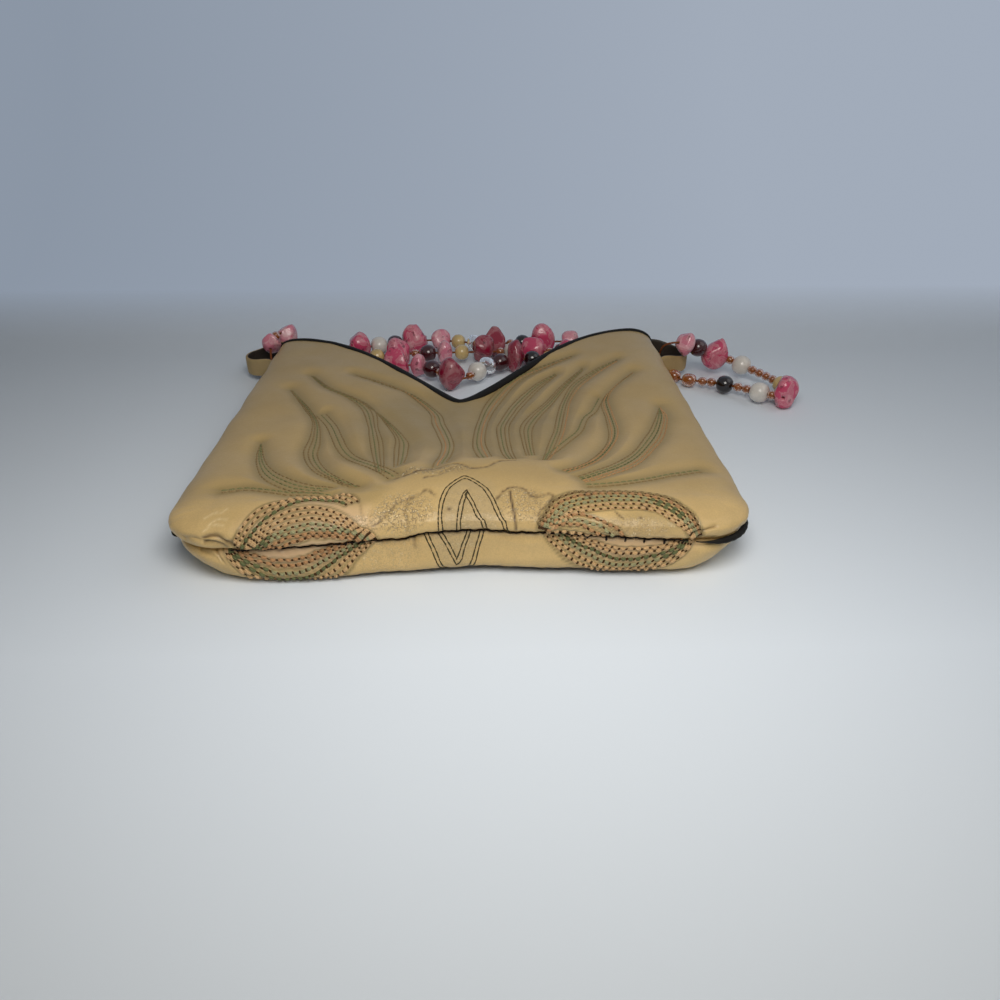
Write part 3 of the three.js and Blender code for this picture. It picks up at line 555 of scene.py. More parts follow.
class LeatherPanel:
    """One side of the pouch: the way it faces and the folds round its edge."""

    def __init__(self, name, outward, roll_depth, roll_rise):
        self.name = name
        self.outward = outward
        self.roll_depth = roll_depth
        self.roll_girth = (QUARTER / 2) * (roll_depth + roll_rise)
        self.spare = self.roll_girth - roll_depth
        self.rim = self.spare + CREASE_GIRTH + TURN_IN
        self.half_cut = HALF + self.rim
        self.seam_line = TURN_IN - self.rim

    def height(self, x, y, lift):
        widest = seam_height(x, y) + self.outward * LOBE_HEIGHT
        face = crown_height(x, y) if self.outward > 0 else np.zeros_like(x)
        out = self.outward * (face - widest)
        return widest + self.outward * lift * np.where(lift > 0, out, LOBE_HEIGHT - SEAM_GAP / 2)

    def inset(self, x, y):
        reach = np.maximum(np.abs(x) - (HALF - CORNER_RADIUS), CORNER_RADIUS - y)
        return CORNER_RADIUS + self.rim - reach

    def face(self, x, y):
        """Points of the formed outside for places x, y of the square-cornered cut."""
        x, y = np.broadcast_arrays(np.asarray(x, float), np.asarray(y, float))
        side = np.where(x < 0, -1.0, 1.0)
        across = np.abs(x) - (HALF - CORNER_RADIUS)
        down = CORNER_RADIUS - y
        reach = np.maximum(across, down)
        corner = (across > 0) & (down > 0)
        with np.errstate(divide="ignore", invalid="ignore"):
            share = np.where(down < across, down / across, 2 - across / down)
        share = np.where(corner, share, np.where(across > down, 0.0, 2.0))
        cos = np.where(share >= 2, 0.0, np.cos(share * QUARTER / 2))
        sin = np.sin(share * QUARTER / 2)
        round_x = np.where(corner, side * (HALF - CORNER_RADIUS + reach * cos), x)
        round_y = np.where(corner, CORNER_RADIUS - reach * sin, y)
        girth = self.inset(x, y) - TURN_IN - CREASE_GIRTH
        lips = lip_depth(x)
        depth = np.where(girth < 0, lips, self.roll_depth)
        angle = girth / np.where(girth < 0, CREASE_GIRTH, self.roll_girth) * QUARTER
        inward = depth * (1 - np.cos(angle))
        inward = np.where(girth < -CREASE_GIRTH, lips - girth - CREASE_GIRTH, inward)
        inward = np.where(girth > self.roll_girth, self.roll_depth + girth - self.roll_girth, inward)
        lift = np.where(girth < -CREASE_GIRTH, -1, np.where(girth > self.roll_girth, 1, np.sin(angle)))
        shift = inward - girth + self.spare
        px = round_x - side * cos * shift
        py = round_y + sin * shift
        z = self.height(px, py, lift)
        below = np.maximum(0, 1 - z / seam_height(px, py))
        drawn_in = 1 - UNDERCUT / HALF * below * (1 - smooth(py, 0, UNDERCUT_LENGTH))
        return np.stack([px * drawn_in, py + bow_at(px, py), z], -1)

    def normal(self, x, y):
        along = self.face(x, y + PROBE) - self.face(x, y - PROBE)
        across = self.face(x + PROBE, y) - self.face(x - PROBE, y)
        return unit(np.cross(across, along) * self.outward)

    def raised(self, x, y, height):
        """Points at a height over the formed outside."""
        return self.face(x, y) + self.normal(x, y) * height[..., None]

    def top(self, x):
        """Top line of the cut: the scallop from the V to an ear tip, then down to the side seam."""
        out = np.abs(x)
        centred = x - V_OFFSET * (1 - out / EAR_TIP)
        rounded = np.hypot(centred, V_ROUNDING) - V_ROUNDING
        full = math.hypot(EAR_TIP, V_ROUNDING) - V_ROUNDING
        scallop = V_LENGTH + V_DEPTH * np.sin(QUARTER * np.minimum(rounded / full, 1))
        past = (out - EAR_TIP) / (self.half_cut - EAR_TIP)
        ear = SIDE_LENGTH + EAR_RISE * np.sqrt(np.maximum(0, 1 - past**2))
        return np.where(out < EAR_TIP, scallop, ear)

    def rim_places(self, step):
        """Distances in from the cut edge at which the folded rim has a grid line."""
        fold = TURN_IN + CREASE_GIRTH
        count = max(6, round(self.roll_girth / step))
        return np.concatenate([
            np.linspace(0, TURN_IN, 3, endpoint=False),
            np.linspace(TURN_IN, fold, max(6, round(CREASE_GIRTH / step)), endpoint=False),
            np.linspace(fold, fold + self.roll_girth, count + 1),
        ])


FRONT = LeatherPanel("front", 1, FRONT_ROLL_DEPTH, BODY_HEIGHT - SEAM_HEIGHT - LOBE_HEIGHT)
BACK = LeatherPanel("back", -1, BACK_ROLL_DEPTH, SEAM_HEIGHT - LOBE_HEIGHT)
PANELS = {"front": FRONT, "back": BACK}


# Decorative rows on the flat cut


def even_line(points, count):
    """Smooth line through given points, as count points evenly along it."""
    points = np.asarray(points, float)
    ends = [2 * points[0] - points[1]], [2 * points[-1] - points[-2]]
    held = np.concatenate([ends[0], points, ends[1]])
    share = np.linspace(0, 1, 24, endpoint=False)[:, None]
    parts = []
    for a, b, c, d in zip(held, held[1:], held[2:], held[3:]):
        bend = 2 * a - 5 * b + 4 * c - d
        parts.append(0.5 * (2 * b + (c - a) * share + bend * share**2 + (3 * b - a - 3 * c + d) * share**3))
    line = np.concatenate([*parts, points[-1:]])
    return spaced(line, np.linspace(0, 1, count))


def spaced(line, shares):
    """Points at shares of a line's length."""
    run = np.concatenate([[0], np.cumsum(np.linalg.norm(np.diff(line, axis=0), axis=1))])
    return np.stack([np.interp(shares * run[-1], run, axis) for axis in line.T], -1)


def length_of(line):
    return float(np.linalg.norm(np.diff(line, axis=0), axis=1).sum())


def beside(line, distance):
    """Line at a distance to the right of another, as one looks along it."""
    way = unit(np.gradient(line, axis=0))
    return line + distance * np.stack([way[:, 1], -way[:, 0]], -1)


def band_rows(threads, outer, inner):
    first = even_line(outer, 160)
    last = beside(first, inner) if np.isscalar(inner) else even_line(inner, 160)
    for letter, share in zip(threads, np.linspace(0, 1, len(threads))):
        yield letter, first * (1 - share) + last * share


def mirrored(points):
    return [(-x, y) for x, y in points]


class Stitching:
    """All rows of one panel: where its stitches and needle holes lie, and how near a row is."""

    def __init__(self, panel, sizes):
        self.panel = panel
        self.sizes = sizes
        self.stitches = {}
        self.holes = {look: [] for look in LOOKS}
        lines = {look: [] for look in LOOKS}
        self.ways = {look: [] for look in LOOKS}
        for look, letter, row in self.rows():
            gap = 0.5 * (sizes.stitch_gap if look == "oval" else sizes.fine_gap) / sizes.stitch_pitch
            row = row[row[:, 1] > panel.seam_line + 0.5]
            lines[look].append(spaced(row, np.linspace(0, 1, int(length_of(row) * 2))))
            count = max(1, round(length_of(row) * MM / sizes.stitch_pitch))
            ends = spaced(row, np.linspace(0, 1, count + 1))
            starts = ends[:-1] * (1 - gap) + ends[1:] * gap
            stops = ends[:-1] * gap + ends[1:] * (1 - gap)
            sewn = np.stack([starts, stops], 1)
            greener = self.at_green_tip(starts) if letter == "M" else np.zeros(len(starts), bool)
            self.stitches.setdefault((look, letter), []).append(sewn[~greener])
            if greener.any():
                self.stitches.setdefault((look, "G"), []).append(sewn[greener])
            self.holes[look].append(ends)
            self.ways[look].append(unit(np.gradient(ends, axis=0)))
        self.trees = {look: tree_of(np.concatenate(lines[look])) for look in LOOKS}
        self.holes = {look: np.concatenate(self.holes[look]) for look in LOOKS}
        self.ways = {look: np.concatenate(self.ways[look]) for look in LOOKS}

    def rows(self):
        name = self.panel.name
        for look, bands in (("oval", OVALS[name]), ("arch", ARCHES[name]), ("flame", FLAMES)):
            for threads, outer, inner in bands:
                if look == "flame" and name == "back":
                    outer = mirrored(outer)
                    inner = -inner if np.isscalar(inner) else mirrored(inner)
                for letter, row in band_rows(threads, outer, inner):
                    yield look, letter, row

    def at_green_tip(self, places):
        return np.any([np.hypot(places[:, 0] - x, places[:, 1] - y) < reach
                       for x, y, reach in GREEN_TIPS[self.panel.name]], axis=0)

    def thread(self, look):
        return getattr(self.sizes, f"{look}_thread") / MM

    def near(self, look, x, y):
        found = [self.trees[look].find((a, b, 0))[2] for a, b in zip(x.ravel(), y.ravel())]
        return np.array(found).reshape(x.shape)

    def relief(self, x, y):
        """Height of the worked leather over the smooth form, at places of the cut."""
        sizes = self.sizes
        flame = self.near("flame", x, y)
        any_row = np.minimum(flame, np.minimum(self.near("oval", x, y), self.near("arch", x, y)))
        down = sizes.pucker * bell(flame, sizes.pucker_reach / MM) + sizes.groove * bell(any_row, ROW_REACH)
        slow = leather_noise(x, y, SLOW_WAVES)
        slow += LOW_WAVE_SHARE * leather_noise(x, y, LOW_WAVES) * (1 - smooth(y, *LOW_WAVE_FADE))
        fade = smooth(self.panel.inset(x, y), TURN_IN, TURN_IN + CREASE_GIRTH)
        height = (sizes.unevenness * slow - down) / MM * fade + self.shaping(x, y) * fade
        height += WRINKLE_HEIGHT * leather_noise(x, y, WRINKLES) * (1 - smooth(y, *WRINKLE_FADE)) * fade
        for line, depth, width, _, _ in CREASES[self.panel.name]:
            height -= depth * bell(line_distance(line, x, y), width)
        return DEEPEST_EASE * np.logaddexp(0, (height + DEEPEST) / DEEPEST_EASE) - DEEPEST

    def shaping(self, x, y):
        """Slow forms of the stuffed leather: a full, round front lobe and a foot off the table."""
        if self.panel.outward < 0:
            foot = FOOT_LIFT * self.foot(x, y)
            full = LOWER_FULLNESS + (LOWER_FULLNESS_RIGHT - LOWER_FULLNESS) * smooth(x, *LOWER_RIGHT)
            full *= bell(y - LOWER_PLACE, LOWER_REACH)
            return full * smooth(HALF - np.abs(x), *LOWER_SIDES) - foot
        full = LOBE_FULLNESS * bell(y - LOBE_PLACE, LOBE_REACH)
        full += LIP_FULLNESS * bell(y - LIP_PLACE, LIP_REACH)
        return full * smooth(HALF - np.abs(x), *LOBE_SIDES)

    def foot(self, x, y):
        """How far the underside stands off the table behind the lower edge, from 0 to 1."""
        along = smooth(y, *FOOT_START) * (1 - smooth(y, *FOOT_END))
        return along * (1 - smooth(np.abs(x - FOOT_MIDDLE), *FOOT_SIDES))

    def scuffs(self, x, y):
        """Pale scratches, from 0 to 1."""
        mask = np.zeros(x.shape)
        for line in SCUFFS[self.panel.name]:
            mask = np.maximum(mask, bell(line_distance(line, x, y), SCUFF_WIDTH))
        return mask * np.clip(0.6 + leather_noise(x, y, STREAKS), 0, 1)

    def soil(self, x, y):
        """Darkening along creases, stains, and a painted shadow behind the back panel's lower edge, from 0
        to 1.
        """
        mask = np.zeros(x.shape)
        broken = 0.5 + 1.2 * leather_noise(x, y, CRUMBS)
        for line, _, width, darkening, breaks in CREASES[self.panel.name]:
            share = darkening * bell(line_distance(line, x, y), 0.9 * width)
            mask = np.maximum(mask, share * (1 - breaks + breaks * np.clip(broken, 0, 1)))
        for cx, cy, size in STAINS[self.panel.name]:
            mask = np.maximum(mask, STAIN_SHARE * bell(np.hypot(x - cx, y - cy), size))
        # Painted shadow: the underside behind the raised foot is darkened as if in the shade of the lower
        # edge
        if self.panel.outward < 0:
            mask = np.maximum(mask, FOOT_PAINTED_SHADOW * self.foot(x, y + 1.2))
        return mask


def slow_noise(x, y, layer, basis="PERLIN_NEW"):
    """Smooth noise at places, from -1 to 1."""
    x, y = np.broadcast_arrays(np.asarray(x, float), y)
    values = [noise.noise((a, b, layer), noise_basis=basis) for a, b in zip(x.ravel(), y.ravel())]
    return np.array(values).reshape(x.shape)


def leather_noise(x, y, waves):
    across, along, layer = waves
    return slow_noise(x / across, y / along, layer)


def waver(x, y, layer):
    """Noise for the sway of cloth, edges and loops, from -1 to 1."""
    return slow_noise(x, y, layer, "PERLIN_ORIGINAL")


def line_distance(points, x, y):
    """Distance from places of the cut to a given line."""
    line = even_line(points, 24)
    away = np.full(x.shape, FAR_AWAY)
    low, high = line.min(0) - CREASE_MARGIN, line.max(0) + CREASE_MARGIN
    inside = (x > low[0]) & (x < high[0]) & (y > low[1]) & (y < high[1])
    a, b = line[:-1], line[1:]
    place = np.stack([x[inside], y[inside]], -1)[:, None]
    share = ((place - a) * (b - a)).sum(-1) / ((b - a) ** 2).sum(-1)
    foot = a + np.clip(share, 0, 1)[..., None] * (b - a)
    away[inside] = np.linalg.norm(place - foot, axis=-1).min(1)
    return away


def tree_of(points):
    tree = kdtree.KDTree(len(points))
    for index, (x, y) in enumerate(points):
        tree.insert((x, y, 0), index)
    tree.balance()
    return tree


def patches(kind, panel, x, y):
    """Mask of a panel's soft ovals of one kind, each with its share, over places of the cut."""
    mask = np.zeros(x.shape)
    for cx, cy, rx, ry, share in PATCHES[kind][panel.name]:
        out = np.hypot((x - cx) / rx, (y - cy) / ry)
        mask = np.maximum(mask, share * (1 - smooth(out, *PATCH_EDGE)))
    return mask


# Pieces


def piece_of(name, points, faces, material, replaced=(), values=None):
    """New mesh piece from points in the plan of the pouch, in millimetres, riding on the purse."""
    mesh = bpy.data.meshes.new(name)
    placed = (np.asarray(points, float).reshape(-1, 3) - ORIGIN) * MM
    mesh.from_pydata(placed.tolist(), [], faces)
    mesh.shade_smooth()
    for key, value in (values or {}).items():
        layer = mesh.attributes.new(key, "FLOAT", "POINT")
        layer.data.foreach_set("value", np.ascontiguousarray(value, dtype=np.float32).ravel())
    mesh.materials.append(material)
    piece = bpy.data.objects.new(name, mesh)
    return placed_piece(piece, replaced)


def placed_piece(piece, replaced=()):
    bpy.context.scene.collection.objects.link(piece)
    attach(piece, "root")
    if replaced:
        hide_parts(*replaced)
    return piece


def grid_faces(columns, rows, flipped=False):
    """Quads of a grid of points, column by column."""
    i, j = np.meshgrid(np.arange(columns - 1), np.arange(rows - 1), indexing="ij")
    a = (i * rows + j).ravel()
    quads = np.stack([a, a + rows, a + rows + 1, a + 1], -1)
    return (quads[:, ::-1] if flipped else quads).tolist()


def tube_faces(count, rings, sides, capped=True):
    """Faces of count tubes of rings times sides points, one after another."""
    faces = []
    for tube in range(count):
        base = tube * rings * sides
        for ring in range(rings - 1):
            for side in range(sides):
                a = base + ring * sides + side
                b = base + ring * sides + (side + 1) % sides
                faces.append((a, b, b + sides, a + sides))
        if capped:
            end = base + (rings - 1) * sides
            faces.append(tuple(range(base + sides - 1, base - 1, -1)))
            faces.append(tuple(range(end, end + sides)))
    return faces


def later_faces(faces, count):
    """Faces of points that come after count others."""
    return [[corner + count for corner in face] for face in faces]


def ring_tube(line, sides_of, section):
    """Points of a tube: at each point of a line a section, by its offsets along two directions."""
    first, second = sides_of
    return (line[:, None, :] + first[:, None, :] * section[None, :, 0:1]
            + second[:, None, :] * section[None, :, 1:2])


def frames_of(line):
    """Unit directions to the side of and above each point of a line."""
    way = unit(np.gradient(line, axis=0))
    side = unit(np.cross(way, (0.0, 0.0, 1.0)))
    return side, np.cross(side, way)


def round_section(width, height, sides, squareness=2.0):
    angle = round_angles(sides)
    cos, sin = np.cos(angle), np.sin(angle)
    power = 2 / squareness
    return np.stack([np.sign(cos) * np.abs(cos) ** power * width / 2,
                     np.sign(sin) * np.abs(sin) ** power * height / 2], -1)


def groove_seat(diameter, deepest):
    """Depth in the groove of the seam at which a rod lies clear of both panels."""
    angle = np.linspace(0, QUARTER, 90, endpoint=False)
    depth = np.arange(deepest, 0, -PROBE)
    inward = deepest * (1 - np.cos(angle)) - depth[:, None]
    above = LOBE_HEIGHT - (LOBE_HEIGHT - SEAM_GAP / 2) * np.sin(angle)
    room = np.hypot(inward, above).min(1)
    return depth[np.argmax(room >= diameter / 2 + CLEARANCE)]


def groove_line(side, girth, depth):
    """Points in the seam's groove, by the girth of the outline from the middle of the bottom."""
    straight = HALF - CORNER_RADIUS
    angle = np.clip((girth - straight) / CORNER_RADIUS, 0, QUARTER)
    radius = CORNER_RADIUS - depth
    x = np.minimum(girth, straight) + radius * np.sin(angle)
    up = np.maximum(0, girth - straight - CORNER_RADIUS * QUARTER)
    y = CORNER_RADIUS - radius * np.cos(angle) + up
    return np.stack([side * x, y + bow_at(x, y), seam_height(side * x, y)], -1)


# Node groups and materials


def put(tree, kind, inputs=None, **settings):
    """Adds a node, with its settings, and its inputs set or linked by name or number."""
    made = tree.nodes.new(kind)
    for name, value in settings.items():
        setattr(made, name, value)
    for name, value in (inputs or {}).items():
        feed(tree, made.inputs[name], value)
    return made


def feed(tree, socket, value):
    if isinstance(value, bpy.types.NodeSocket):
        tree.links.new(value, socket)
    else:
        socket.default_value = value


def calc(tree, operation, a, b=0.0):
    return put(tree, "ShaderNodeMath", {0: a, 1: b}, operation=operation).outputs[0]


def times(tree, a, b):
    return calc(tree, "MULTIPLY", a, b)


def cloudy(tree, place, scale, **inputs):
    """Value of a noise texture."""
    return put(tree, "ShaderNodeTexNoise", {"Vector": place, "Scale": scale, **inputs}).outputs["Fac"]


def between(tree, share, a, b):
    """Mix of two colours."""
    return put(tree, "ShaderNodeMix", {0: share, 6: a, 7: b}, data_type="RGBA").outputs[2]


def ramp(tree, value, low, high, to_low=0.0, to_high=1.0):
    made = put(tree, "ShaderNodeMapRange",
               {"Value": value, "From Min": low, "From Max": high, "To Min": to_low, "To Max": to_high})
    return made.outputs[0]


def place_of(tree):
    return put(tree, "ShaderNodeTexCoord").outputs["Object"]


def group_of(name, inputs, outputs):
    """New shader node group with number inputs and outputs."""
    tree = bpy.data.node_groups.new(name, "ShaderNodeTree")
    for label, default in inputs.items():
        socket = tree.interface.new_socket(label, in_out="INPUT", socket_type="NodeSocketFloat")
        socket.default_value = default
    for label in outputs:
        tree.interface.new_socket(label, in_out="OUTPUT", socket_type="NodeSocketFloat")
    return tree, tree.nodes.new("NodeGroupInput").outputs, tree.nodes.new("NodeGroupOutput").inputs


def grain_group():
    """Pebbled grain with fine pores."""
    tree, given, out = group_of("Leather Grain", {"Scale": 900.0}, ("Height", "Tone"))
    place = place_of(tree)
    pebbles = put(tree, "ShaderNodeTexVoronoi", {"Vector": place, "Scale": given["Scale"]},
                  feature="SMOOTH_F1").outputs["Distance"]
    pores = cloudy(tree, place, times(tree, given["Scale"], 2.6), Detail=3.0)
    feed(tree, out["Height"], calc(tree, "SUBTRACT", times(tree, pores, 0.5), pebbles))
    feed(tree, out["Tone"], ramp(tree, pores, 0.35, 0.7))
    return tree


def mottle_group():
    """Slow cloudy change of tone."""
    tree, given, out = group_of("Mottle", {"Scale": 40.0, "Contrast": 0.2}, ("Tone",))
    clouds = cloudy(tree, place_of(tree), given["Scale"], Detail=6.0, Roughness=0.62)
    low = calc(tree, "SUBTRACT", 0.5, given["Contrast"])
    high = calc(tree, "ADD", 0.5, given["Contrast"])
    feed(tree, out["Tone"], ramp(tree, clouds, low, high))
    return tree


def crackle_group():
    """Fine broken cracks with pale flecks between them."""
    tree, given, out = group_of("Crackle", {"Scale": 420.0, "Width": 0.09}, ("Cracks", "Flecks"))
    place = place_of(tree)
    warp = put(tree, "ShaderNodeTexNoise", {"Vector": place, "Scale": given["Scale"], "Detail": 2.0})
    shift = put(tree, "ShaderNodeVectorMath", {0: warp.outputs["Color"], 1: (0.0007, 0.0007, 0.0007)},
                operation="MULTIPLY").outputs[0]
    moved = put(tree, "ShaderNodeVectorMath", {0: place, 1: shift}, operation="ADD").outputs[0]
    edge = put(tree, "ShaderNodeTexVoronoi", {"Vector": moved, "Scale": given["Scale"]},
               feature="DISTANCE_TO_EDGE").outputs["Distance"]
    broken = cloudy(tree, place, times(tree, given["Scale"], 0.85), Detail=3.0)
    lines = ramp(tree, edge, 0.0, given["Width"], 1.0, 0.0)
    feed(tree, out["Cracks"], times(tree, lines, ramp(tree, broken, 0.42, 0.6)))
    feed(tree, out["Flecks"], ramp(tree, broken, 0.56, 0.72))
    return tree


def ply_group():
    """Twisted plies of a thread or cord."""
    tree, given, out = group_of("Twisted Ply", {"Scale": 900.0}, ("Height", "Tone"))
    wave = put(tree, "ShaderNodeTexWave",
               {"Vector": place_of(tree), "Scale": given["Scale"], "Distortion": 1.5, "Detail": 1.0},
               bands_direction="DIAGONAL").outputs["Fac"]
    feed(tree, out["Height"], wave)
    feed(tree, out["Tone"], ramp(tree, wave, 0.0, 1.0, 0.25, 1.0))
    return tree


def vein_group():
    """Clouds and thin veins of tumbled stone."""
    tree, given, out = group_of("Stone Veins", {"Scale": 160.0}, ("Veins", "Clouds", "Spots"))
    place = place_of(tree)
    clouds = cloudy(tree, place, given["Scale"], Detail=5.0, Distortion=0.9)
    ridge = calc(tree, "ABSOLUTE", calc(tree, "SUBTRACT", clouds, 0.5))
    spots = cloudy(tree, place, times(tree, given["Scale"], 2.3), Detail=2.0)
    feed(tree, out["Veins"], ramp(tree, ridge, 0.0, 0.035, 1.0, 0.0))
    feed(tree, out["Clouds"], ramp(tree, clouds, 0.48, 0.68))
    feed(tree, out["Spots"], ramp(tree, spots, 0.62, 0.7))
    return tree


GROUP_MAKERS = {
    "Leather Grain": grain_group,
    "Mottle": mottle_group,
    "Crackle": crackle_group,
    "Twisted Ply": ply_group,
    "Stone Veins": vein_group,
}


def effect(tree, name, **inputs):
    """Places a shared node group, made at its first use, and returns its outputs."""
    made = bpy.data.node_groups.get(name) or GROUP_MAKERS[name]()
    return put(tree, "ShaderNodeGroup", inputs, node_tree=made).outputs


def mesh_mask(tree, name):
    return put(tree, "ShaderNodeAttribute", attribute_name=name).outputs["Fac"]


def finish_of(name, roughness, **plain):
    """New material with a Principled shader, and its plain socket values."""
    material = bpy.data.materials.new(name)
    material.use_nodes = True
    shader = material.node_tree.nodes["Principled BSDF"]
    shader.inputs["Roughness"].default_value = roughness
    for label, value in plain.items():
        shader.inputs[label.replace("_", " ")].default_value = value
    return material, material.node_tree, shader.inputs


def tinted(tree, base, mask, share, colour):
    """Base colour, drawn towards another by a share of a mask."""
    return between(tree, times(tree, mask, share), base, colour)


def dress(tree, sockets, base, tone, roughness, height=None, depth=0.0):
    """Feeds a finish its colour, its roughness between two values by tone, and its bump."""
    feed(tree, sockets["Base Color"], base)
    feed(tree, sockets["Roughness"], ramp(tree, tone, 0.0, 1.0, *roughness))
    if height is not None:
        bump = put(tree, "ShaderNodeBump", {"Height": height, "Distance": depth})
        feed(tree, sockets["Normal"], bump.outputs[0])


def rgba(colour, share=1.0):
    """Colour with its alpha, as it is or made darker or paler by a share."""
    return (*(share * part for part in colour), 1.0)


def once(name, maker):
    return bpy.data.materials.get(name) or maker(name, bpy.context.scene.purse_colours)


def mottle(tree, scale, contrast=0.2):
    return effect(tree, "Mottle", Scale=scale, Contrast=contrast)["Tone"]


def worked_leather(name, colours):
    """Tan leather of the panels, coloured by the masks on their meshes."""
    material, tree, sockets = finish_of(name, 0.5, Specular_IOR_Level=0.5)
    grain = effect(tree, "Leather Grain", Scale=850.0)
    tone = mottle(tree, 34.0, 0.22)
    cracks = effect(tree, "Crackle", Scale=1300.0, Width=0.25)
    worn = mesh_mask(tree, "worn")
    lines = times(tree, cracks["Cracks"], times(tree, worn, 0.75))
    # Paler towards the bottom edge: wear from rubbing, with painted light of the front-lit near side
    base = between(tree, mesh_mask(tree, "rubbed"), rgba(colours.leather), rgba(colours.leather_pale))
    base = tinted(tree, base, tone, 0.3, rgba(colours.leather_dark))
    base = tinted(tree, base, grain["Tone"], 0.22, rgba(colours.leather_dark))
    # Peach and taupe are the leather's own tones; the rows mask lays painted shade along the flames, beside
    # the oval rows and in the shade patches
    for mask, colour in (("peach", colours.peach), ("taupe", colours.taupe), ("rows", colours.painted_valley_shade)):
        base = between(tree, mesh_mask(tree, mask), base, rgba(colour))
    base = tinted(tree, base, cracks["Flecks"], worn, rgba(colours.fleck))
    # Cracks of the worn patches hold dirt; the next mask darkens creases, stains and the seam line, and
    # holds the painted shadow behind the back panel's lower edge
    for mask in (lines, mesh_mask(tree, "soil")):
        base = between(tree, mask, base, rgba(colours.soil))
    base = tinted(tree, base, mesh_mask(tree, "scuffs"), 0.5, rgba(colours.fleck))
    height = calc(tree, "SUBTRACT", times(tree, grain["Height"], 0.5), times(tree, lines, 1.5))
    dress(tree, sockets, base, tone, (0.34, 0.5), height, 0.00012)
    return material


def strap_leather(name, colours):
    """Tan leather of the pull straps, with painted shade in the lining's dark colour on the inside of each
    loop.
    """
    material, tree, sockets = finish_of(name, 0.5)
    tone = mottle(tree, 60.0)
    base = tinted(tree, rgba(colours.leather), tone, 0.7, rgba(colours.leather_dark))
    base = between(tree, mesh_mask(tree, "inner"), base, rgba(colours.lining))
    grain = effect(tree, "Leather Grain", Scale=900.0)
    dress(tree, sockets, base, tone, (0.45, 0.62), grain["Height"], 0.0001)
    return material


def edging_leather(name, colours):
    """Black edging leather, greyer where handled."""
    material, tree, sockets = finish_of(name, 0.7, Specular_IOR_Level=0.15)
    tone = mottle(tree, 120.0, 0.18)
    base = tinted(tree, rgba(colours.black), tone, 0.35, rgba(colours.black_handled))
    grain = effect(tree, "Leather Grain", Scale=1300.0)
    dress(tree, sockets, base, tone, (0.5, 0.7), grain["Height"], 0.00008)
    return material


def lining_cloth(name, colours):
    """Dark woven lining."""
    material, tree, sockets = finish_of(name, 0.9, Sheen_Weight=0.25)
    weave = effect(tree, "Twisted Ply", Scale=520.0)
    tone = mottle(tree, 70.0, 0.25)
    base = tinted(tree, rgba(colours.lining), weave["Tone"], tone, rgba(colours.lining_pale))
    dress(tree, sockets, base, tone, (0.82, 0.95), weave["Height"], 0.00015)
    return material


def thread_finish(colour_name):
    def make(name, colours):
        """Stitching thread."""
        material, tree, sockets = finish_of(name, 0.6, Specular_IOR_Level=0.25)
        ply = effect(tree, "Twisted Ply", Scale=700.0)
        tone = mottle(tree, 90.0)
        colour = getattr(colours, colour_name)
        base = tinted(tree, rgba(colour), tone, 0.5, rgba(colour, 0.55))
        base = tinted(tree, base, ply["Tone"], 0.25, rgba(colour, 0.55))
        dress(tree, sockets, base, tone, (0.5, 0.7), ply["Height"], 0.00012)
        return material

    return make


def hole_shade_finish(name, colours):
    """Dark rim of a needle hole: painted shade of the hole, with its dirt."""
    material, tree, sockets = finish_of(name, 0.95, Specular_IOR_Level=0.1)
    tone = mottle(tree, 300.0)
    base = tinted(tree, rgba(colours.soil), tone, 0.6, rgba(colours.soil, 1.9))
    dress(tree, sockets, base, tone, (0.9, 1.0))
    return material


def stone_finish(colour_name, pale_share):
    def make(name, colours):
        """Veined stone, tumbled to a soft polish."""
        material, tree, sockets = finish_of(name, 0.25, Coat_Weight=0.3)
        veins = effect(tree, "Stone Veins", Scale=150.0)
        colour = getattr(colours, colour_name)
        base = tinted(tree, rgba(colour), veins["Clouds"], pale_share, rgba(colours.vein))
        base = tinted(tree, base, veins["Veins"], 0.6 * pale_share, rgba(colours.vein))
        base = tinted(tree, base, veins["Spots"], 0.85, rgba(colour, 0.28))
        dress(tree, sockets, base, veins["Clouds"], (0.2, 0.34), veins["Clouds"], 0.00015)
        return material

    return make


def polished_finish(colour_name, roughness, **plain):
    def make(name, colours):
        """Polished bead with a faint cloudiness."""
        material, tree, sockets = finish_of(name, roughness, **plain)
        tone = mottle(tree, 190.0)
        colour = getattr(colours, colour_name)
        base = tinted(tree, rgba(colour), tone, 0.7, rgba(colour, 0.62))
        dress(tree, sockets, base, tone, (roughness, roughness + 0.12))
        return material

    return make


BEAD_FINISHES = {
    "pink_chip": stone_finish("pink", 0.5),
    "rose_chip": stone_finish("rose", 0.6),
    "crimson_chip": stone_finish("crimson", 0.25),
    "garnet": polished_finish("garnet", 0.1, Coat_Weight=0.5),
    "black_bead": polished_finish("black_stone", 0.1, Coat_Weight=0.5),
    "pearl": polished_finish("pearl", 0.22, Coat_Weight=0.4),
    "glass": polished_finish("glass", 0.04, Transmission_Weight=0.85, IOR=1.5),
    "cream_bead": polished_finish("cream_bead", 0.2, Coat_Weight=0.3),
    "amber_spacer": polished_finish("amber", 0.1, Transmission_Weight=0.35, Coat_Weight=0.4),
}


def seen_rays(tree):
    """Whether a ray is one that the camera sees, straight, mirrored or through glass."""
    ray = put(tree, "ShaderNodeLightPath").outputs
    mirrored_or_straight = calc(tree, "MAXIMUM", ray["Is Camera Ray"], ray["Is Glossy Ray"])
    return calc(tree, "MAXIMUM", mirrored_or_straight, ray["Is Transmission Ray"])


# Operators


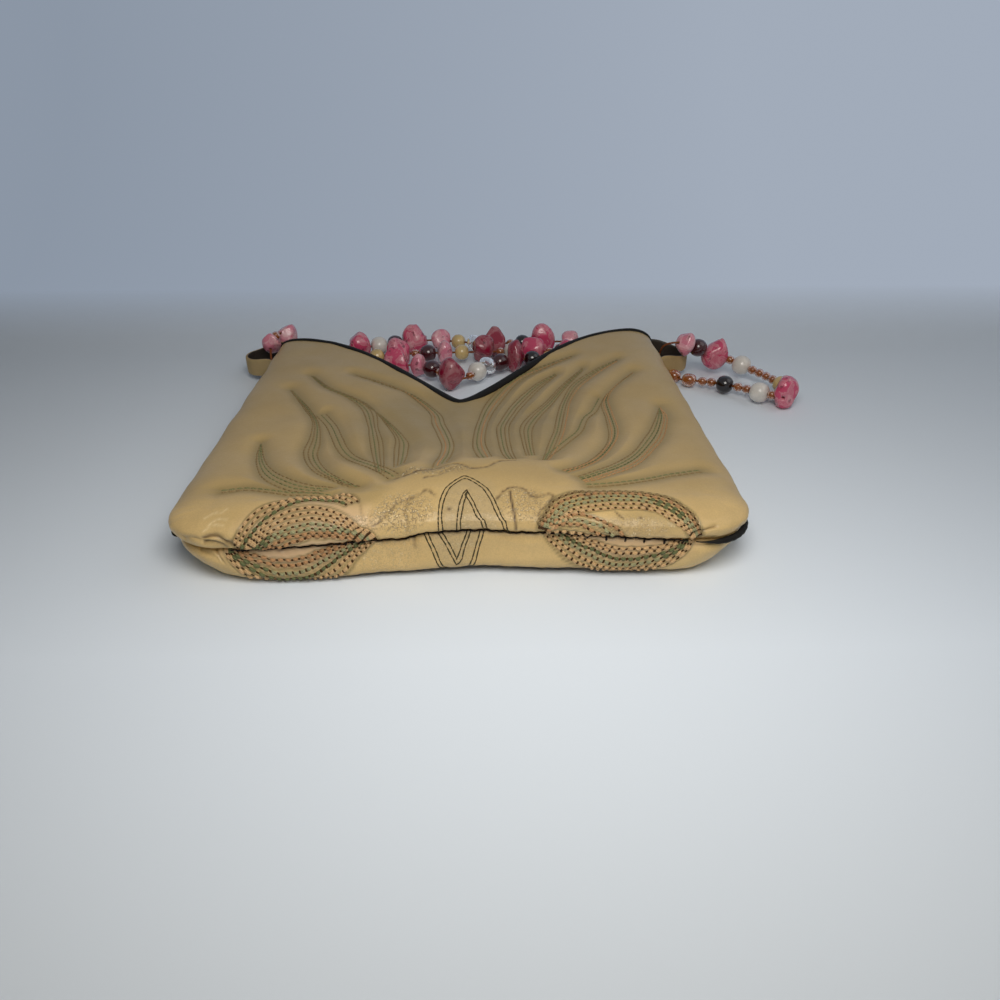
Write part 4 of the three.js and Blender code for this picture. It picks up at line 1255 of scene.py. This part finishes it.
class PURSE_OT_stage(bpy.types.Operator):
    """Makes the floor, the backdrop, the lights and the camera."""

    bl_idname = "purse.stage"
    bl_label = "Stage"

    def execute(self, context):
        scene = context.scene
        stage = scene.purse_stage
        scene.view_settings.view_transform = "Standard"
        self.add_camera(scene, stage)
        self.add_floor(scene, stage)
        self.add_lights(scene, stage)
        return {"FINISHED"}

    def add_camera(self, scene, stage):
        data = bpy.data.cameras.new("camera")
        data.lens = stage.lens
        data.sensor_width = SENSOR
        camera = bpy.data.objects.new("camera", data)
        camera.location = stage.camera_place
        camera.rotation_euler = (QUARTER - stage.camera_pitch, 0.0, -stage.camera_yaw)
        scene.collection.objects.link(camera)
        scene.camera = camera

    def add_floor(self, scene, stage):
        corners = [(FLOOR_HALF * x, FLOOR_HALF * y, 0) for x, y in ((-1, -1), (1, -1), (1, 1), (-1, 1))]
        floor = self.sheet("floor", corners, [(0, 1, 2, 3)], self.floor_finish("floor_paper", stage))
        start, radius = BACKDROP_START, BACKDROP_RADIUS
        angle = np.linspace(0, QUARTER, 33)
        profile = [(start + radius * math.sin(a), radius * (1 - math.cos(a))) for a in angle]
        profile.append((start + radius, BACKDROP_HEIGHT))
        points = [(x, y, z + BACKDROP_LIFT) for x in (-BACKDROP_HALF, BACKDROP_HALF) for y, z in profile]
        sweep = self.sheet("backdrop", points, grid_faces(2, len(profile)), self.backdrop_finish(stage))
        for made in (floor, sweep):
            scene.collection.objects.link(made)

    def sheet(self, name, points, faces, material):
        mesh = bpy.data.meshes.new(name)
        mesh.from_pydata(points, [], faces)
        mesh.shade_smooth()
        mesh.materials.append(material)
        return bpy.data.objects.new(name, mesh)

    def floor_colour(self, tree, stage):
        """Pale under the purse, with painted shade that makes it greyer towards the camera."""
        place = put(tree, "ShaderNodeSeparateXYZ", {0: place_of(tree)}).outputs
        far = ramp(tree, place["Y"], -0.25, -0.13)
        return between(tree, far, rgba(stage.floor_near_shaded), rgba(stage.floor))

    def floor_finish(self, name, stage):
        material, tree, sockets = finish_of(name, 0.6, Specular_IOR_Level=0.2)
        dress(tree, sockets, self.floor_colour(tree, stage), mottle(tree, 4.0, 0.4), (0.55, 0.65))
        return material

    def backdrop_finish(self, stage):
        """Floor paper that rises into a plain backdrop, with painted shade darkening its left side, and is
        clear from behind.
        """
        material, tree, sockets = finish_of("backdrop_paper", 0.8, Specular_IOR_Level=0.1)
        place = put(tree, "ShaderNodeSeparateXYZ", {0: place_of(tree)}).outputs
        # Painted shade, darker to the left
        right = ramp(tree, place["X"], -0.3, 0.2)
        across = between(tree, right, rgba(stage.backdrop_left_shaded), rgba(stage.backdrop))
        feed(tree, sockets["Base Color"], self.floor_colour(tree, stage))
        shown = times(tree, seen_rays(tree), ramp(tree, place["Z"], 0.0004, 0.012))
        plain = put(tree, "ShaderNodeEmission", {"Color": across}).outputs[0]
        front = put(tree, "ShaderNodeMixShader",
                    {0: shown, 1: tree.nodes["Principled BSDF"].outputs[0], 2: plain}).outputs[0]
        clear = put(tree, "ShaderNodeBsdfTransparent").outputs[0]
        behind = put(tree, "ShaderNodeNewGeometry").outputs["Backfacing"]
        both = put(tree, "ShaderNodeMixShader", {0: behind, 1: front, 2: clear}).outputs[0]
        feed(tree, tree.nodes["Material Output"].inputs["Surface"], both)
        return material

    def add_lights(self, scene, stage):
        world = bpy.data.worlds.new("studio")
        world.use_nodes = True
        tree = world.node_tree
        sky = tree.nodes["Background"].inputs
        sky["Color"].default_value = rgba(stage.sky)
        feed(tree, sky["Strength"], ramp(tree, seen_rays(tree), 0.0, 1.0, *SKY_STRENGTH))
        scene.world = world
        for name, setting in LAMPS.items():
            self.lamp(scene, name, *setting)

    def lamp(self, scene, name, place, aim, size, power, colour):
        data = bpy.data.lights.new(name, "AREA")
        data.size = size
        data.energy = power
        data.color = colour
        lamp = bpy.data.objects.new(name, data)
        lamp.location = place
        lamp.rotation_euler = (Vector(aim) - Vector(place)).to_track_quat("-Z", "Y").to_euler()
        scene.collection.objects.link(lamp)


class PURSE_OT_strap(bpy.types.Operator):
    """Makes the cord of the strap and the beads strung on it."""

    bl_idname = "purse.strap"
    bl_label = "Beaded Strap"

    def execute(self, context):
        sizes = context.scene.purse_sizes
        fine, slots = cord_lines(np.array(CORD_ROUTE, float), len(STRINGING))
        strung = [self.bead_piece(letter, slots) for letter in BEADS]
        strung.append(self.spacer_piece(slots))
        cord = self.cord_piece(fine, sizes.cord)
        return {"FINISHED"}

    def cord_piece(self, fine, diameter):
        data = bpy.data.curves.new("strap_cord_line", "CURVE")
        data.dimensions = "3D"
        data.bevel_depth = diameter / 2
        data.bevel_resolution = 3
        data.use_fill_caps = True
        spline = data.splines.new("POLY")
        spline.points.add(len(fine) - 1)
        placed = (fine - ORIGIN) * MM
        spline.points.foreach_set("co", np.column_stack([placed, np.ones(len(fine))]).ravel())
        data.materials.append(once("waxed_cord", thread_finish("cord")))
        return placed_piece(bpy.data.objects.new("strap_cord_line", data), ("strap_cord",))

    def bead_piece(self, letter, slots):
        kind = BEADS[letter]
        order = [place for place, found in enumerate(STRINGING) if found != "-"]
        mine = [place for place in order if STRINGING[place] == letter]
        nodes = [f"bead_{order.index(place) + 1:02d}_{kind[0]}" for place in mine]
        beads = [self.bead_at(letter, place, slots) for place in mine]
        return joined_beads(f"{kind[0]}_beads", beads, kind, nodes)

    def bead_at(self, letter, place, slots):
        """Points of the bead of one slot; a chip grows into plain slots beside it."""
        start, end = slots[place], slots[place + 1]
        way = unit(end - start)
        before, after = grown_sides(place)
        growth = CHIP_GROWTH.get(letter, 0.0) / max(1, before + after)
        name, height, width, length, cuts, slot = BEADS[letter]
        kind = (name, height, width, length + growth * (before + after), cuts, slot)
        start, end = start - way * growth * before, end + way * growth * after
        return strung_bead(kind, start, end, BEAD_SEED + place)

    def spacer_piece(self, slots):
        plain = [place for place, found in enumerate(STRINGING) if found == "-"]
        beads = []
        for place in plain[PLAIN_SLOTS_AT_START:-1]:
            way = slots[place + 1] - slots[place]
            taken = [grown_sides(place - 1)[1] and STRINGING[place - 1] in CHIP_GROWTH,
                     grown_sides(place + 1)[0] and STRINGING[place + 1] in CHIP_GROWTH]
            if STRINGING[place - 1:place + 2] == "---":
                beads.append(strung_bead(LONE_SPACER, slots[place], slots[place + 1], BEAD_SEED * place))
                continue
            for share, hidden in zip(SPACER_PLACES, taken):
                if hidden:
                    continue
                middle = slots[place] + way * share
                beads.append(strung_bead(SPACER, middle - way / 2, middle + way / 2, BEAD_SEED * place))
        return joined_beads("amber_spacers", beads, SPACER, ())


def grown_sides(place):
    """Whether the slots before and after a bead are plain, away from the ends of the strap."""
    inside = PLAIN_SLOTS_AT_START < place < len(STRINGING) - PLAIN_SLOTS_AT_START
    return inside and STRINGING[place - 1] == "-", inside and STRINGING[place + 1] == "-"


def cord_lines(route, count):
    """The cord's line through its route, finely and at the ends of its slots, as the frame strings it."""
    held = np.concatenate([[2 * route[0] - route[1]], route, [2 * route[-1] - route[-2]]])

    def at(shares):
        along = shares * (len(route) - 1)
        part = np.minimum(along.astype(int), len(route) - 2)
        t = (along - part)[:, None]
        a, b, c, d = (held[part + k] for k in range(4))
        ab, bc, cd = (np.sqrt(np.linalg.norm(q - p, axis=1, keepdims=True))
                      for p, q in ((a, b), (b, c), (c, d)))
        start = ((b - a) / ab - (c - a) / (ab + bc) + (c - b) / bc) * bc
        stop = ((c - b) / bc - (d - b) / (bc + cd) + (d - c) / cd) * bc
        bend, twist = 3 * (c - b) - 2 * start - stop, 2 * (b - c) + start + stop
        return b + start * t + bend * t**2 + twist * t**3

    shares = np.linspace(0, 1, 201)
    points = at(shares)
    run = np.concatenate([[0], np.cumsum(np.linalg.norm(np.diff(points, axis=0), axis=1))])
    slots = at(np.interp(np.linspace(0, run[-1], count + 1), run, shares))
    return at(np.linspace(0, 1, CORD_POINTS)), slots


def strung_bead(kind, start, end, seed):
    """Points of one bead, rings round the cord, out along its skin and back through its bore."""
    _, height, width, length, cuts, _ = kind
    draw = np.random.default_rng(seed)
    rings, sides = CHIP_GRID if cuts else BEAD_GRID
    angle = round_angles(sides)
    turn = np.linspace(0, math.pi, rings)
    skin = np.abs(np.sin(turn)) ** BEAD_ROUNDING
    along = -np.cos(turn) * length / 2
    points = np.stack([
        skin[:, None] * np.cos(angle) * width / 2,
        np.repeat(along[:, None], sides, 1),
        skin[:, None] * np.sin(angle) * height / 2,
    ], -1)
    if cuts:
        points = tumbled(points, cuts, draw)
    flat = np.hypot(points[..., 0], points[..., 2])
    grow = np.maximum(1, BORE_RADIUS / np.maximum(flat, 1e-6))
    points[..., 0] *= grow
    points[..., 2] *= grow
    points[[0, -1], :, 0] = np.cos(angle) * BORE_RADIUS
    points[[0, -1], :, 2] = np.sin(angle) * BORE_RADIUS
    way = unit(end - start)
    side = unit(np.cross(way, (0.0, 0.0, 1.0)))
    above = np.cross(side, way)
    middle = (start + end) / 2
    points = middle + points[..., 0:1] * side + points[..., 1:2] * way + points[..., 2:3] * above
    points[..., 2] += max(0.0, TABLE_CLEARANCE - points[..., 2].min())
    return points


def tumbled(points, cuts, draw):
    """Bead with worn flats and slow bumps, as a tumbled chip has."""
    reach = np.abs(points).reshape(-1, 3).max(0)
    stone = points / reach
    for _ in range(cuts):
        facing = unit(draw.normal(size=3))
        past = np.maximum(0, stone @ facing - draw.uniform(*CHIP_CUT))
        stone = stone - CHIP_WEAR * past[..., None] * facing
    waves = draw.normal(size=(4, 3)) * 1.6
    lag = draw.uniform(0, TURN, 4)
    bumps = 1 + CHIP_BUMPS * np.sin(stone @ waves.T + lag).sum(-1)
    return stone * bumps[..., None] * reach


def joined_beads(name, beads, kind, nodes):
    rings, sides = beads[0].shape[:2]
    faces = tube_faces(len(beads), rings, sides, capped=False)
    bores = []
    for bead in range(len(beads)):
        base = bead * rings * sides
        end = base + (rings - 1) * sides
        for side in range(sides):
            after = (side + 1) % sides
            bores.append((base + after, base + side, end + side, end + after))
    material = once(f"{kind[0]}_finish", BEAD_FINISHES[kind[0]])
    return piece_of(name, np.concatenate([bead.reshape(-1, 3) for bead in beads]), faces + bores, material,
                    nodes)


def panel_piece(panel, stitching, step, name, node):
    """Leather panel as one fine grid over its folds, its face and its turned top edge."""
    rim = panel.rim_places(step)
    inner = panel.half_cut - rim[-1]
    across = np.linspace(-inner, inner, round(2 * inner / step) + 1)[1:-1]
    columns = np.concatenate([rim - panel.half_cut, across, (panel.half_cut - rim)[::-1]])
    low = rim - panel.rim
    near = np.arange(low[-1] + step, FINE_END, step)
    far = np.linspace(0, 1, FAR_ROWS) ** FAR_SPREAD
    top = panel.top(columns)[:, None]
    rows = np.concatenate([
        np.repeat(np.concatenate([low, near])[None], len(columns), 0),
        FINE_END + (top - FINE_END) * far,
        *[top + back for back, _ in TURNED_EDGE],
    ], 1)
    depth = np.zeros(rows.shape[1])
    depth[-len(TURNED_EDGE):] = [down for _, down in TURNED_EDGE]
    x = np.repeat(columns[:, None], rows.shape[1], 1)
    lift = np.where(depth > 0, -depth, stitching.relief(x, rows))
    points = off_table(panel.raised(x, rows, lift))
    flame, oval = stitching.near("flame", x, rows), stitching.near("oval", x, rows)
    # Darker along the seam line
    seam = bell(rows - panel.seam_line, SEAM_DARKENING_REACH) * (1 - smooth(np.abs(x), *SEAM_DARKENING_END))
    # Painted shade along the flame rows and beside the oval rows, which with the shade patches makes the
    # rows mask
    shade = np.maximum(PAINTED_FLAME_SHADE * bell(flame, PAINTED_FLAME_SHADE_REACH),
                       OVAL_SHADE * bell(oval - OVAL_SHADE_PLACE, OVAL_SHADE_REACH))
    values = {
        "rows": np.maximum(shade, patches("shade", panel, x, rows)),
        # Paler towards the bottom edge: wear from rubbing, with painted light
        "rubbed": 1 - smooth(rows, *RUBBED_AND_LIT_FADE),
        "scuffs": stitching.scuffs(x, rows),
        "soil": np.maximum(stitching.soil(x, rows), SEAM_DARKENING * seam),
        **{kind: patches(kind, panel, x, rows) for kind in ("peach", "taupe", "worn")},
    }
    faces = grid_faces(len(columns), rows.shape[1], panel.outward < 0)
    finish = once("worked_leather", worked_leather)
    piece = piece_of(name, points, faces, finish, (node,), values)
    return piece


class PURSE_OT_front_panel(bpy.types.Operator):
    """Makes the front panel's leather, drawn down along its stitching."""

    bl_idname = "purse.front_panel"
    bl_label = "Front Panel"

    def execute(self, context):
        stitching = Stitching(FRONT, context.scene.purse_sizes)
        panel_piece(FRONT, stitching, FRONT_STEP, "front_leather", "front_panel")
        return {"FINISHED"}


class PURSE_OT_back_panel(bpy.types.Operator):
    """Makes the back panel's leather, which lies on the table."""

    bl_idname = "purse.back_panel"
    bl_label = "Back Panel"

    def execute(self, context):
        stitching = Stitching(BACK, context.scene.purse_sizes)
        panel_piece(BACK, stitching, BACK_STEP, "back_leather", "back_panel")
        return {"FINISHED"}


class PURSE_OT_stitching(bpy.types.Operator):
    """Sews the decorative rows of both panels, thread by thread, with their needle holes."""

    bl_idname = "purse.stitching"
    bl_label = "Decorative Stitching"

    def execute(self, context):
        for panel in PANELS.values():
            stitching = Stitching(panel, context.scene.purse_sizes)
            for (look, letter), rows in stitching.stitches.items():
                thread = THREADS[letter]
                points, faces = stitch_tubes(stitching, np.concatenate(rows), stitching.thread(look))
                finish = once(f"{thread}_thread", thread_finish(f"{thread}_thread"))
                piece_of(f"{panel.name}_{look}_{thread}_stitches", points, faces, finish)
            for look in PIERCED_LOOKS:
                self.pierce(f"{panel.name}_{look}_needle_holes", stitching, look)
        return {"FINISHED"}

    def pierce(self, name, stitching, look):
        """Low dark rims where the thread goes through the leather: painted shade of each needle hole, with
        its dirt.
        """
        panel = stitching.panel
        places, ways = stitching.holes[look], stitching.ways[look]
        sides, radius = 8, HOLE_SHARE * stitching.thread(look) + HOLE_LEAST
        angle = round_angles(sides)
        rings = []
        for share, lift in ((1.0, -HOLE_SINK), (0.8, 0.22 * radius), (0.25, 0.5 * radius)):
            along, aside = HOLE_STRETCH * radius * share * np.cos(angle), radius * share * np.sin(angle)
            x = places[:, 0:1] + ways[:, 0:1] * along - ways[:, 1:2] * aside
            y = places[:, 1:2] + ways[:, 1:2] * along + ways[:, 0:1] * aside
            rings.append(panel.raised(x, y, stitching.relief(x, y) + lift))
        points = off_table(np.stack(rings, 1))
        if panel.outward < 0:
            points = points[:, :, ::-1]
        faces = tube_faces(len(places), len(rings), sides)
        piece_of(name, points, faces, once("needle_hole", hole_shade_finish))


def stitch_tubes(stitching, ends, diameter, sides=6):
    """Points and faces of stitches that bow over the leather between their two ends."""
    panel = stitching.panel
    share = np.array([0.0, 0.14, 0.38, 0.62, 0.86, 1.0])
    girth = np.array([0.72, 0.96, 1.0, 1.0, 0.96, 0.72]) * diameter / 2
    rise = np.array([-0.3, 0.0, 0.14, 0.14, 0.0, -0.3]) * diameter
    places = ends[:, 0:1] * (1 - share)[None, :, None] + ends[:, 1:2] * share[None, :, None]
    x, y = places[..., 0], places[..., 1]
    normal = panel.normal(x, y)
    middle = panel.face(x, y) + normal * (stitching.relief(x, y) + rise)[..., None]
    way = unit(middle[:, -1:] - middle[:, :1])
    side = unit(np.cross(np.broadcast_to(way, normal.shape), normal))
    angle = round_angles(sides)
    points = (middle[:, :, None, :]
              + (girth[None, :, None] * np.cos(angle))[..., None] * side[:, :, None, :]
              + (girth[None, :, None] * np.sin(angle))[..., None] * normal[:, :, None, :])
    return off_table(points, STITCH_LOWEST), tube_faces(len(ends), len(share), sides)


class PURSE_OT_linings(bpy.types.Operator):
    """Makes the dark cloth inside both panels."""

    bl_idname = "purse.linings"
    bl_label = "Linings"

    def execute(self, context):
        for panel in PANELS.values():
            self.line(panel)
        return {"FINISHED"}

    def line(self, panel):
        fold = TURN_IN + CREASE_GIRTH
        inner = panel.half_cut - fold
        columns = np.linspace(-inner, inner, LINING_GRID[0])
        low = fold - panel.rim
        share = np.linspace(0, 1, LINING_GRID[1])
        top = panel.top(columns)[:, None] - LINING_SETBACK
        y = low + (top - low) * share
        x = np.repeat(columns[:, None], y.shape[1], 1)
        from_fold, from_top = LINING_EASE
        ease = smooth(panel.inset(x, y), fold, fold + from_fold) * smooth(top - y, 0, from_top)
        slack = LINING_SLACK * (1 + waver(x / 12, y / 20, 8.0)) * ease
        base, normal = panel.face(x, y), panel.normal(x, y)
        outer = base - normal * (LEATHER + CLEARANCE)
        inner_side = base - normal * (LEATHER + CLEARANCE + LINING + slack)[..., None]
        points, faces = closed_sheet(outer, inner_side, panel.outward > 0)
        piece = piece_of(f"{panel.name}_lining_cloth", points, faces, once("lining_cloth", lining_cloth),
                         (f"{panel.name}_lining",))


def closed_sheet(upper, lower, upright):
    """Points and faces of a closed sheet between two grids."""
    columns, rows = upper.shape[:2]
    count = columns * rows
    faces = grid_faces(columns, rows, not upright)
    faces += later_faces(grid_faces(columns, rows, upright), count)
    edge = [(i, 0) for i in range(columns)] + [(columns - 1, j) for j in range(1, rows)]
    edge += [(i, rows - 1) for i in range(columns - 2, -1, -1)] + [(0, j) for j in range(rows - 2, 0, -1)]
    loop = [i * rows + j for i, j in edge]
    for a, b in zip(loop, loop[1:] + loop[:1]):
        faces.append([a + count, b + count, b, a] if upright else [a, b, b + count, a + count])
    return np.concatenate([upper.reshape(-1, 3), lower.reshape(-1, 3)]), faces


class PURSE_OT_bindings(bpy.types.Operator):
    """Makes the black leather folded over the top edge of each panel."""

    bl_idname = "purse.bindings"
    bl_label = "Top Bindings"

    def execute(self, context):
        for panel in PANELS.values():
            self.bind(panel)
        return {"FINISHED"}

    def bind(self, panel):
        end = panel.half_cut - TURN_IN - CREASE_GIRTH
        spread = np.linspace(-1, 1, BINDING_RINGS)
        x = np.sign(spread) * np.abs(spread) ** BINDING_SPREAD * end
        top = panel.top(x)
        normal = panel.normal(x, top)
        line = panel.face(x, top) - normal * LEATHER / 2
        way = np.gradient(line, axis=0)
        away = unit(np.cross(normal, way) * panel.outward)
        section = round_section(BINDING_WIDTH, BINDING_HEIGHT, BINDING_SIDES, 2.6)
        section += (BINDING_STAND - BINDING_OVERLAP, 0)
        points = ring_tube(line, (away, normal * panel.outward), section)
        wobble = BINDING_WOBBLE * waver(x / 5, 0.5, panel.outward)
        points += (away * wobble[:, None])[:, None, :]
        piece_of(f"{panel.name}_edge_binding", off_table(points), tube_faces(1, len(x), BINDING_SIDES),
                 once("edging_leather", edging_leather), (f"{panel.name}_top_binding",))


class PURSE_OT_welts(bpy.types.Operator):
    """Makes the black piping in the side seams."""

    bl_idname = "purse.welts"
    bl_label = "Side Welts"

    def execute(self, context):
        depth = groove_seat(WELT_DIAMETER, CREASE_DEPTH)
        end = HALF - CORNER_RADIUS + CORNER_RADIUS * QUARTER + PULL_BOTTOM - CLEARANCE - CORNER_RADIUS
        girth = np.linspace(SEAM_END, end, WELT_RINGS)
        section = round_section(WELT_DIAMETER, WELT_DIAMETER, WELT_SIDES)
        for side, name in ((-1, "left"), (1, "right")):
            emerge = WELT_EMERGES[name]
            start = SEAM_END + emerge
            sunk = (CREASE_DEPTH - depth + WELT_HIDDEN) * (1 - smooth(girth, start, start + WELT_RISE))
            line = groove_line(side, girth, depth + (sunk if emerge else 0))
            pleats = 1 + 0.05 * np.sin(girth * 2.1) + 0.04 * slow_noise(girth / 4, side, 0.0)
            pleats *= WELT_GIRTH[0] + WELT_GIRTH[1] * smooth(girth, start, start + WELT_SWELL)
            points = ring_tube(line, frames_of(line), section)
            points = line[:, None] + (points - line[:, None]) * pleats[:, None, None]
            piece_of(f"{name}_piping", points, tube_faces(1, len(line), WELT_SIDES),
                     once("edging_leather", edging_leather), (f"{name}_side_welt",))
        return {"FINISHED"}


class PURSE_OT_seam(bpy.types.Operator):
    """Sews the bottom seam with dark thread, which shows as short ticks on the lower edge."""

    bl_idname = "purse.seam"
    bl_label = "Bottom Seam"

    def execute(self, context):
        depth = groove_seat(FINE_THREAD, LIP_DEPTH)
        end = SEAM_END - WELT_DIAMETER
        x = np.linspace(-end, end, SEAM_RINGS)
        line = np.where((x < 0)[:, None], groove_line(-1, -x, depth), groove_line(1, x, depth))
        line[:, 2] += 0.25 * waver(x / 7, 2.0, 0)
        section = round_section(FINE_THREAD, 0.6 * FINE_THREAD, SEAM_SIDES)
        thread = ring_tube(line, frames_of(line), section)
        stitching = Stitching(BACK, context.scene.purse_sizes)
        low = BACK.seam_line
        long_ticks = [[(p, low - 0.4), (p + 0.3, low + 3.2)] for p in SEAM_TICKS]
        short_ticks = [[(p, low - 0.4), (p - 0.1, low + 0.7)] for p in np.arange(*SHORT_TICKS)]
        ticks, tick_faces = stitch_tubes(stitching, np.array(long_ticks + short_ticks), TICK_THREAD)
        count = thread.shape[0] * thread.shape[1]
        faces = tube_faces(1, len(line), SEAM_SIDES) + later_faces(tick_faces, count)
        points = np.concatenate([thread.reshape(-1, 3), ticks.reshape(-1, 3)])
        piece_of("bottom_seam_stitches", points, faces, once("seam_thread", thread_finish("seam_thread")),
                 ("bottom_seam_thread",))
        return {"FINISHED"}


class PURSE_OT_pulls(bpy.types.Operator):
    """Makes the two leather pull straps that loop over the mouth corners."""

    bl_idname = "purse.pulls"
    bl_label = "Pull Straps"

    def execute(self, context):
        for side, name in ((-1, "left"), (1, "right")):
            self.loop(side, name)
        return {"FINISHED"}

    def loop(self, side, name):
        stand = PULL_THICKNESS / 2 + CLEARANCE
        inside = HALF - CREASE_DEPTH - TURN_IN - stand
        outside = HALF + stand
        out = HALF + PULL_REACH
        sewn = PULL_BOTTOM + PULL_SEWN / 2
        turn = (sewn + EAR_LENGTH) / 2
        angle = np.linspace(math.pi, 0, 40)
        t = np.linspace(0, 1, 30)[:, None]
        ends = np.array([(out, EAR_LENGTH), (out, turn), (outside, turn), (outside, sewn)], float)
        shares = (1 - t) ** 3, 3 * t * (1 - t) ** 2, 3 * t**2 * (1 - t), t**3
        fall = sum(share * place for share, place in zip(shares, ends))
        arch = np.stack([(inside + out) / 2 + (out - inside) / 2 * np.cos(angle),
                         EAR_LENGTH + PULL_RISE * np.sin(angle)], -1)
        line = np.concatenate([[(inside, PULL_BOTTOM)], arch, fall[1:], [(outside, PULL_BOTTOM)]])
        line = spaced(line, np.linspace(0, 1, PULL_RINGS))
        sway = PULL_SWAY * waver(np.arange(len(line)) / 22, side, 4.0)
        sag = PULL_SAG * smooth(line[:, 0], outside + 2, out - 2)
        middle = np.column_stack([side * line[:, 0], line[:, 1], (PULL_LOW + PULL_HIGH) / 2 + sway - sag])
        section = round_section(PULL_THICKNESS, PULL_HIGH - PULL_LOW, PULL_SIDES, 5.0)
        points = ring_tube(middle, frames_of(middle), section)
        # The inner face of each loop is painted in the lining's dark colour as the shade inside the loop
        inner = np.repeat((section[:, 0] * side > 0)[None], len(line), 0)
        piece_of(f"{name}_pull_loop", points, tube_faces(1, len(line), PULL_SIDES),
                 once("strap_leather", strap_leather), (f"{name}_pull_strap",),
                 {"inner": inner})


class PURSE_PT_pieces(bpy.types.Panel):
    """Lists the purse's pieces, sizes and colours."""

    bl_idname = "PURSE_PT_pieces"
    bl_label = "Purse"
    bl_space_type = "VIEW_3D"
    bl_region_type = "UI"
    bl_category = "Purse"

    def draw(self, context):
        for operator in OPERATORS:
            self.layout.operator(operator.bl_idname)
        for group in (context.scene.purse_sizes, context.scene.purse_colours, context.scene.purse_stage):
            box = self.layout.box()
            for name in group.__annotations__:
                box.prop(group, name)


OPERATORS = (
    PURSE_OT_stage,
    PURSE_OT_strap,
    PURSE_OT_front_panel,
    PURSE_OT_back_panel,
    PURSE_OT_linings,
    PURSE_OT_bindings,
    PURSE_OT_welts,
    PURSE_OT_seam,
    PURSE_OT_pulls,
    PURSE_OT_stitching,
)
GROUPS = {"purse_sizes": PurseSizes, "purse_colours": PurseColours, "purse_stage": PurseStage}


def register():
    for kind in (*GROUPS.values(), *OPERATORS, PURSE_PT_pieces):
        bpy.utils.register_class(kind)
    for name, kind in GROUPS.items():
        setattr(bpy.types.Scene, name, bpy.props.PointerProperty(type=kind))


def unregister():
    for name in GROUPS:
        delattr(bpy.types.Scene, name)
    for kind in reversed((*GROUPS.values(), *OPERATORS, PURSE_PT_pieces)):
        bpy.utils.unregister_class(kind)


def main():
    register()
    for operator in OPERATORS:
        group, name = operator.bl_idname.split(".")
        getattr(getattr(bpy.ops, group), name)()


if __name__ == "__main__":
    main()
